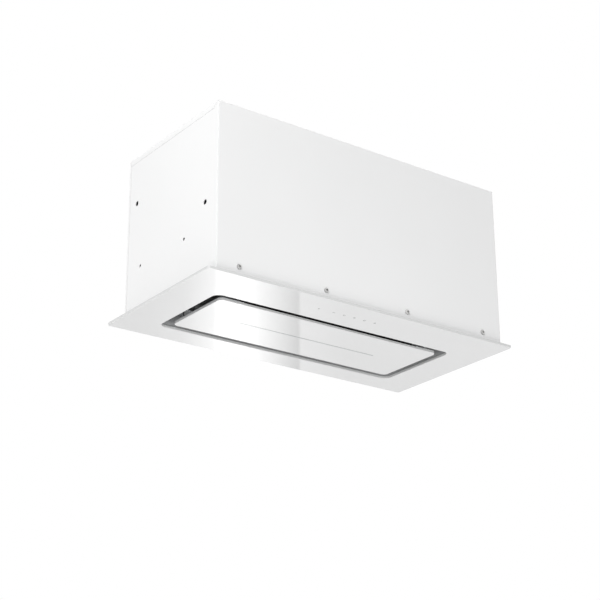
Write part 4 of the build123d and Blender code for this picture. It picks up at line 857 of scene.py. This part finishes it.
# Motor: drawn can and end cap with air slots, and the copper end turns inside
print("motor")
motor = {"radius": 44, "wall": 3, "tall": 59, "round": 4, "waist": 0.6, "hole": 4.6,
         "seat": (11, 14, 7), "slots": 12, "slot": (7, 6), "rows": (6, 50), "capSlots": 6,
         "capSlot": (9, 17), "capSlotFrom": 20, "turnRadius": 33, "turn": (6.4, 3.4), "bulges": 6,
         "bulge": 0.16, "steps": 96}
motorPlace = inPlace(boxOf("motor_can")[0].x, blower["y"], blower["z"]) @ rightTurn
radius, wall, tall, bend, hole, steps = (motor[key] for key in
                                         ("radius", "wall", "tall", "round", "hole", "steps"))
seatIn, seatOut, seatDeep = motor["seat"]
waist = radius - motor["waist"]
slotLong, slotDeep = motor["slot"]
capWide, capLong = motor["capSlot"]
shell = turnedForm([(radius, 0), (radius, 11), (waist, 12), (waist, tall - 15), (radius, tall - 14),
                    (radius, tall - bend)] + quarterRound(radius, tall, bend)
                   + [(hole, tall), (hole, tall - wall), (seatIn, tall - wall),
                      (seatIn, tall - wall - seatDeep), (seatOut, tall - wall - seatDeep),
                      (seatOut, tall - wall), (radius - wall - 2, tall - wall),
                      (radius - wall, tall - wall - 2), (radius - wall, 0), (radius, 0)], motorPlace, steps)
capShell = turnedForm([(hole, -wall), (radius - 1.2, -wall), (radius - 0.3, -wall + 0.4),
                       (radius, -wall + 1.3), (radius, 0), (seatOut, 0), (seatOut, seatDeep),
                       (seatIn, seatDeep), (seatIn, 0), (hole, 0), (hole, -wall)], motorPlace, steps)


def slotTurn(index, count):
    return motorPlace @ spun(2 * pi * (index + 0.5) / count)


airWays, capWays, endTurns = newForms(3)
for height in motor["rows"]:
    for index in range(motor["slots"]):
        addBlock(airWays, (radius - 6, -slotLong / 2, height - slotDeep / 2),
                 (radius + 3, slotLong / 2, height + slotDeep / 2), 1.4, 3, slotTurn(index, motor["slots"]))
for index in range(motor["capSlots"]):
    start = motor["capSlotFrom"]
    addBlock(capWays, (start, -capWide / 2, -wall - 5), (start + capLong, capWide / 2, 5), 3, 4,
             slotTurn(index, motor["capSlots"]))
savePiece("motor_shell", cutAway(shell, airWays), "motor_paint", ("motor_can",))
savePiece("motor_end_shell", cutAway(capShell, capWays), "motor_paint", ("motor_end_cap",))
wide, deep = motor["turn"]
for corner, side in zip(boxOf("motor_stator"), (-1, 1)):
    loop = [(motor["turnRadius"] + wide * cos(step * pi / 8), side * deep * (1 + sin(step * pi / 8)))
            for step in range(17)]
    addTurned(endTurns, loop, inPlace(corner.x, blower["y"], blower["z"]) @ rightTurn, steps)
axis = Vector((0, blower["y"], blower["z"])) * mm
for vert in endTurns.verts:  # the windings swell between the slots
    arm = Vector((0, vert.co.y, vert.co.z)) - axis
    sweep = cos(motor["bulges"] * Vector((arm.y, arm.z)).angle_signed(Vector((1, 0)), 0))
    middle = arm.normalized() * motor["turnRadius"] * mm
    swell = 1 + motor["bulge"] * (sweep - 1)
    vert.co.yz = (axis + middle + (arm - middle) * swell).yz
savePiece("motor_end_turns", endTurns, "copper_wire")

# Camera below the hood, looking up at its left front corner
print("camera and lights")
cameraPlace = {"at": (-1.32356, -1.76861, -0.8085), "right": (0.80736, -0.59003, -0.00491),
               "up": (-0.21125, -0.29680, 0.93128), "forward": (0.55094, 0.75085, 0.36427),
               "lens": 92.876, "sensor": 36}
cameraData = bpy.data.cameras.new("product_view")
cameraData.lens = cameraPlace["lens"]
cameraData.sensor_width = cameraPlace["sensor"]
cameraData.clip_end = 60
camera = linkObject("product_view", cameraData)
axes = Matrix((cameraPlace["right"], cameraPlace["up"], -Vector(cameraPlace["forward"]))).transposed()
camera.matrix_world = Matrix.Translation(cameraPlace["at"]) @ axes.to_4x4()
scene.camera = camera

# Soft studio light: an even sky, large lamps at the left front and right back, low ones for the underside.
# Each lamp has its place and its size in metres, and its watts.
lamps = {"key_lamp": ((-2.2, -1.7, 0.9), 1.7, 52), "left_lamp": ((-2.6, 0.2, 0.4), 1.6, 7),
         "low_lamp": ((-0.4, -1.35, -1.9), 1.4, 16), "back_lamp": ((2, 2.1, 0.9), 1.7, 52),
         "top_lamp": ((0, 0.2, 2.6), 1.8, 26)}
lampAim = Vector((0, 0, 0.12))
for name, (at, size, watts) in lamps.items():
    data = bpy.data.lights.new(name, "AREA")
    data.size, data.energy = size, watts
    lamp = linkObject(name, data)
    lamp.location = at
    lamp.rotation_mode = "QUATERNION"
    lamp.rotation_quaternion = (lampAim - Vector(at)).to_track_quat("-Z", "Y")
    lamp.visible_camera = lamp.visible_glossy = False


# One where the camera, the gloss or the glass looks straight at it, nought where it only lights
def seenStraight(tree):
    rays = addNode("LightPath", {}, tree).outputs
    seen = maths("MAXIMUM", rays["Is Camera Ray"], rays["Is Glossy Ray"])
    return maths("MAXIMUM", seen, rays["Is Transmission Ray"])


skyLook = {"light": 0.46, "seen": 1}
sky = bpy.data.worlds.new("studio_sky")
scene.world = sky
sky.use_nodes = True
skyTree = sky.node_tree
strength = spreadTo(seenStraight(skyTree), skyLook["light"], skyLook["seen"], 0, 1)
feed(skyTree.nodes["Background"], {"Color": (1, 1, 1, 1), "Strength": strength})
scene.view_settings.view_transform = "Standard"

# Floor of the studio, far below the hood where a kitchen's floor would be; it fades into the sky
floorLook = {"drop": 2.45, "half": 7, "tone": (0.80, 0.80, 0.80), "rough": 0.9, "kept": 0.3, "glow": 1.22,
             "fade": (2.5, 5.5)}
floorMesh = bmesh.new()
bmesh.ops.create_grid(floorMesh, x_segments=4, y_segments=4, size=floorLook["half"],
                      matrix=Matrix.Translation((0, 0, -floorLook["drop"])))
floor = linkObject("studio_floor", asMesh("studio_floor", floorMesh))
floorFinish, floorTree, floorShader = blankFinish("pale_floor")
feed(floorShader, {"Base Color": (*floorLook["tone"], 1), "Roughness": floorLook["rough"]})
floorWay = addNode("VectorMath", {0: objectPlace(floorTree, (1, 1, 0))},
                   operation="LENGTH").outputs["Value"]
floorFade, floorGlow = (spreadTo(floorWay, start, 1, *floorLook["fade"])
                        for start in (1 - floorLook["kept"], floorLook["glow"]))
lit = addNode("MixShader", {
    0: maths("MULTIPLY", seenStraight(floorTree), floorFade), 1: floorShader.outputs[0],
    2: addNode("Emission", {"Strength": floorGlow}).outputs[0]})
feed(floorTree.nodes["Material Output"], {"Surface": lit.outputs[0]})
floor.data.materials.append(floorFinish)

# Upright reflector behind the hood: only the gloss of the glass sees it, as bands of light and shade.
# Each stop is how far across the reflector it is in metres, and how bright it is there.
reflectorLook = {"away": 2, "low": -1.5, "high": 0.1, "brightest": 3.2,
                 "stops": ((-0.62, 1), (-0.45, 1.05), (-0.36, 1.3), (-0.27, 2.3), (-0.262, 3.2), (-0.18, 3.2),
                           (-0.13, 2.2), (-0.08, 1.4), (-0.025, 0.5), (-0.020, 1.35), (0.10, 1.05), (0.6, 1))}
away = Vector((*cameraPlace["forward"][:2], 0)).normalized()
acrossIt = Vector((away.y, -away.x, 0))
firstStop, lastStop = reflectorLook["stops"][0][0], reflectorLook["stops"][-1][0]
span, rise = lastStop - firstStop, reflectorLook["high"] - reflectorLook["low"]
reflectorAt = away * reflectorLook["away"] + acrossIt * (firstStop + span / 2)
reflectorAt.z = reflectorLook["low"] + rise / 2
reflectorTurn = Matrix((acrossIt * span, Vector((0, 0, rise)), away)).transposed().to_4x4()
reflectorMesh = bmesh.new()
bmesh.ops.create_grid(reflectorMesh, x_segments=1, y_segments=1, size=0.5,
                      matrix=Matrix.Translation(reflectorAt) @ reflectorTurn)
reflector = linkObject("band_reflector", asMesh("band_reflector", reflectorMesh))
reflectorFinish, bandTree, bandShader = blankFinish("banded_glow")
bandTree.nodes.remove(bandShader)
bandAcross = addNode("VectorMath", {0: coordsOf(bandTree, "Object"), 1: acrossIt},
                     operation="DOT_PRODUCT").outputs["Value"]
bandRamp = addNode("ValToRGB", {0: spreadTo(bandAcross, 0, 1, firstStop, lastStop)})
stops = bandRamp.color_ramp.elements
for index, (across, level) in enumerate(reflectorLook["stops"]):
    place = (across - firstStop) / span
    stop = stops[index] if index < 2 else stops.new(place)
    stop.position = place
    stop.color = (*[level / reflectorLook["brightest"]] * 3, 1)
bandGlow = addNode("Emission", {"Color": bandRamp.outputs[0], "Strength": reflectorLook["brightest"]})
feed(bandTree.nodes["Material Output"], {"Surface": bandGlow.outputs[0]})
reflector.data.materials.append(reflectorFinish)
for kind in ("camera", "diffuse", "transmission", "shadow", "volume_scatter"):
    setattr(reflector, "visible_" + kind, False)
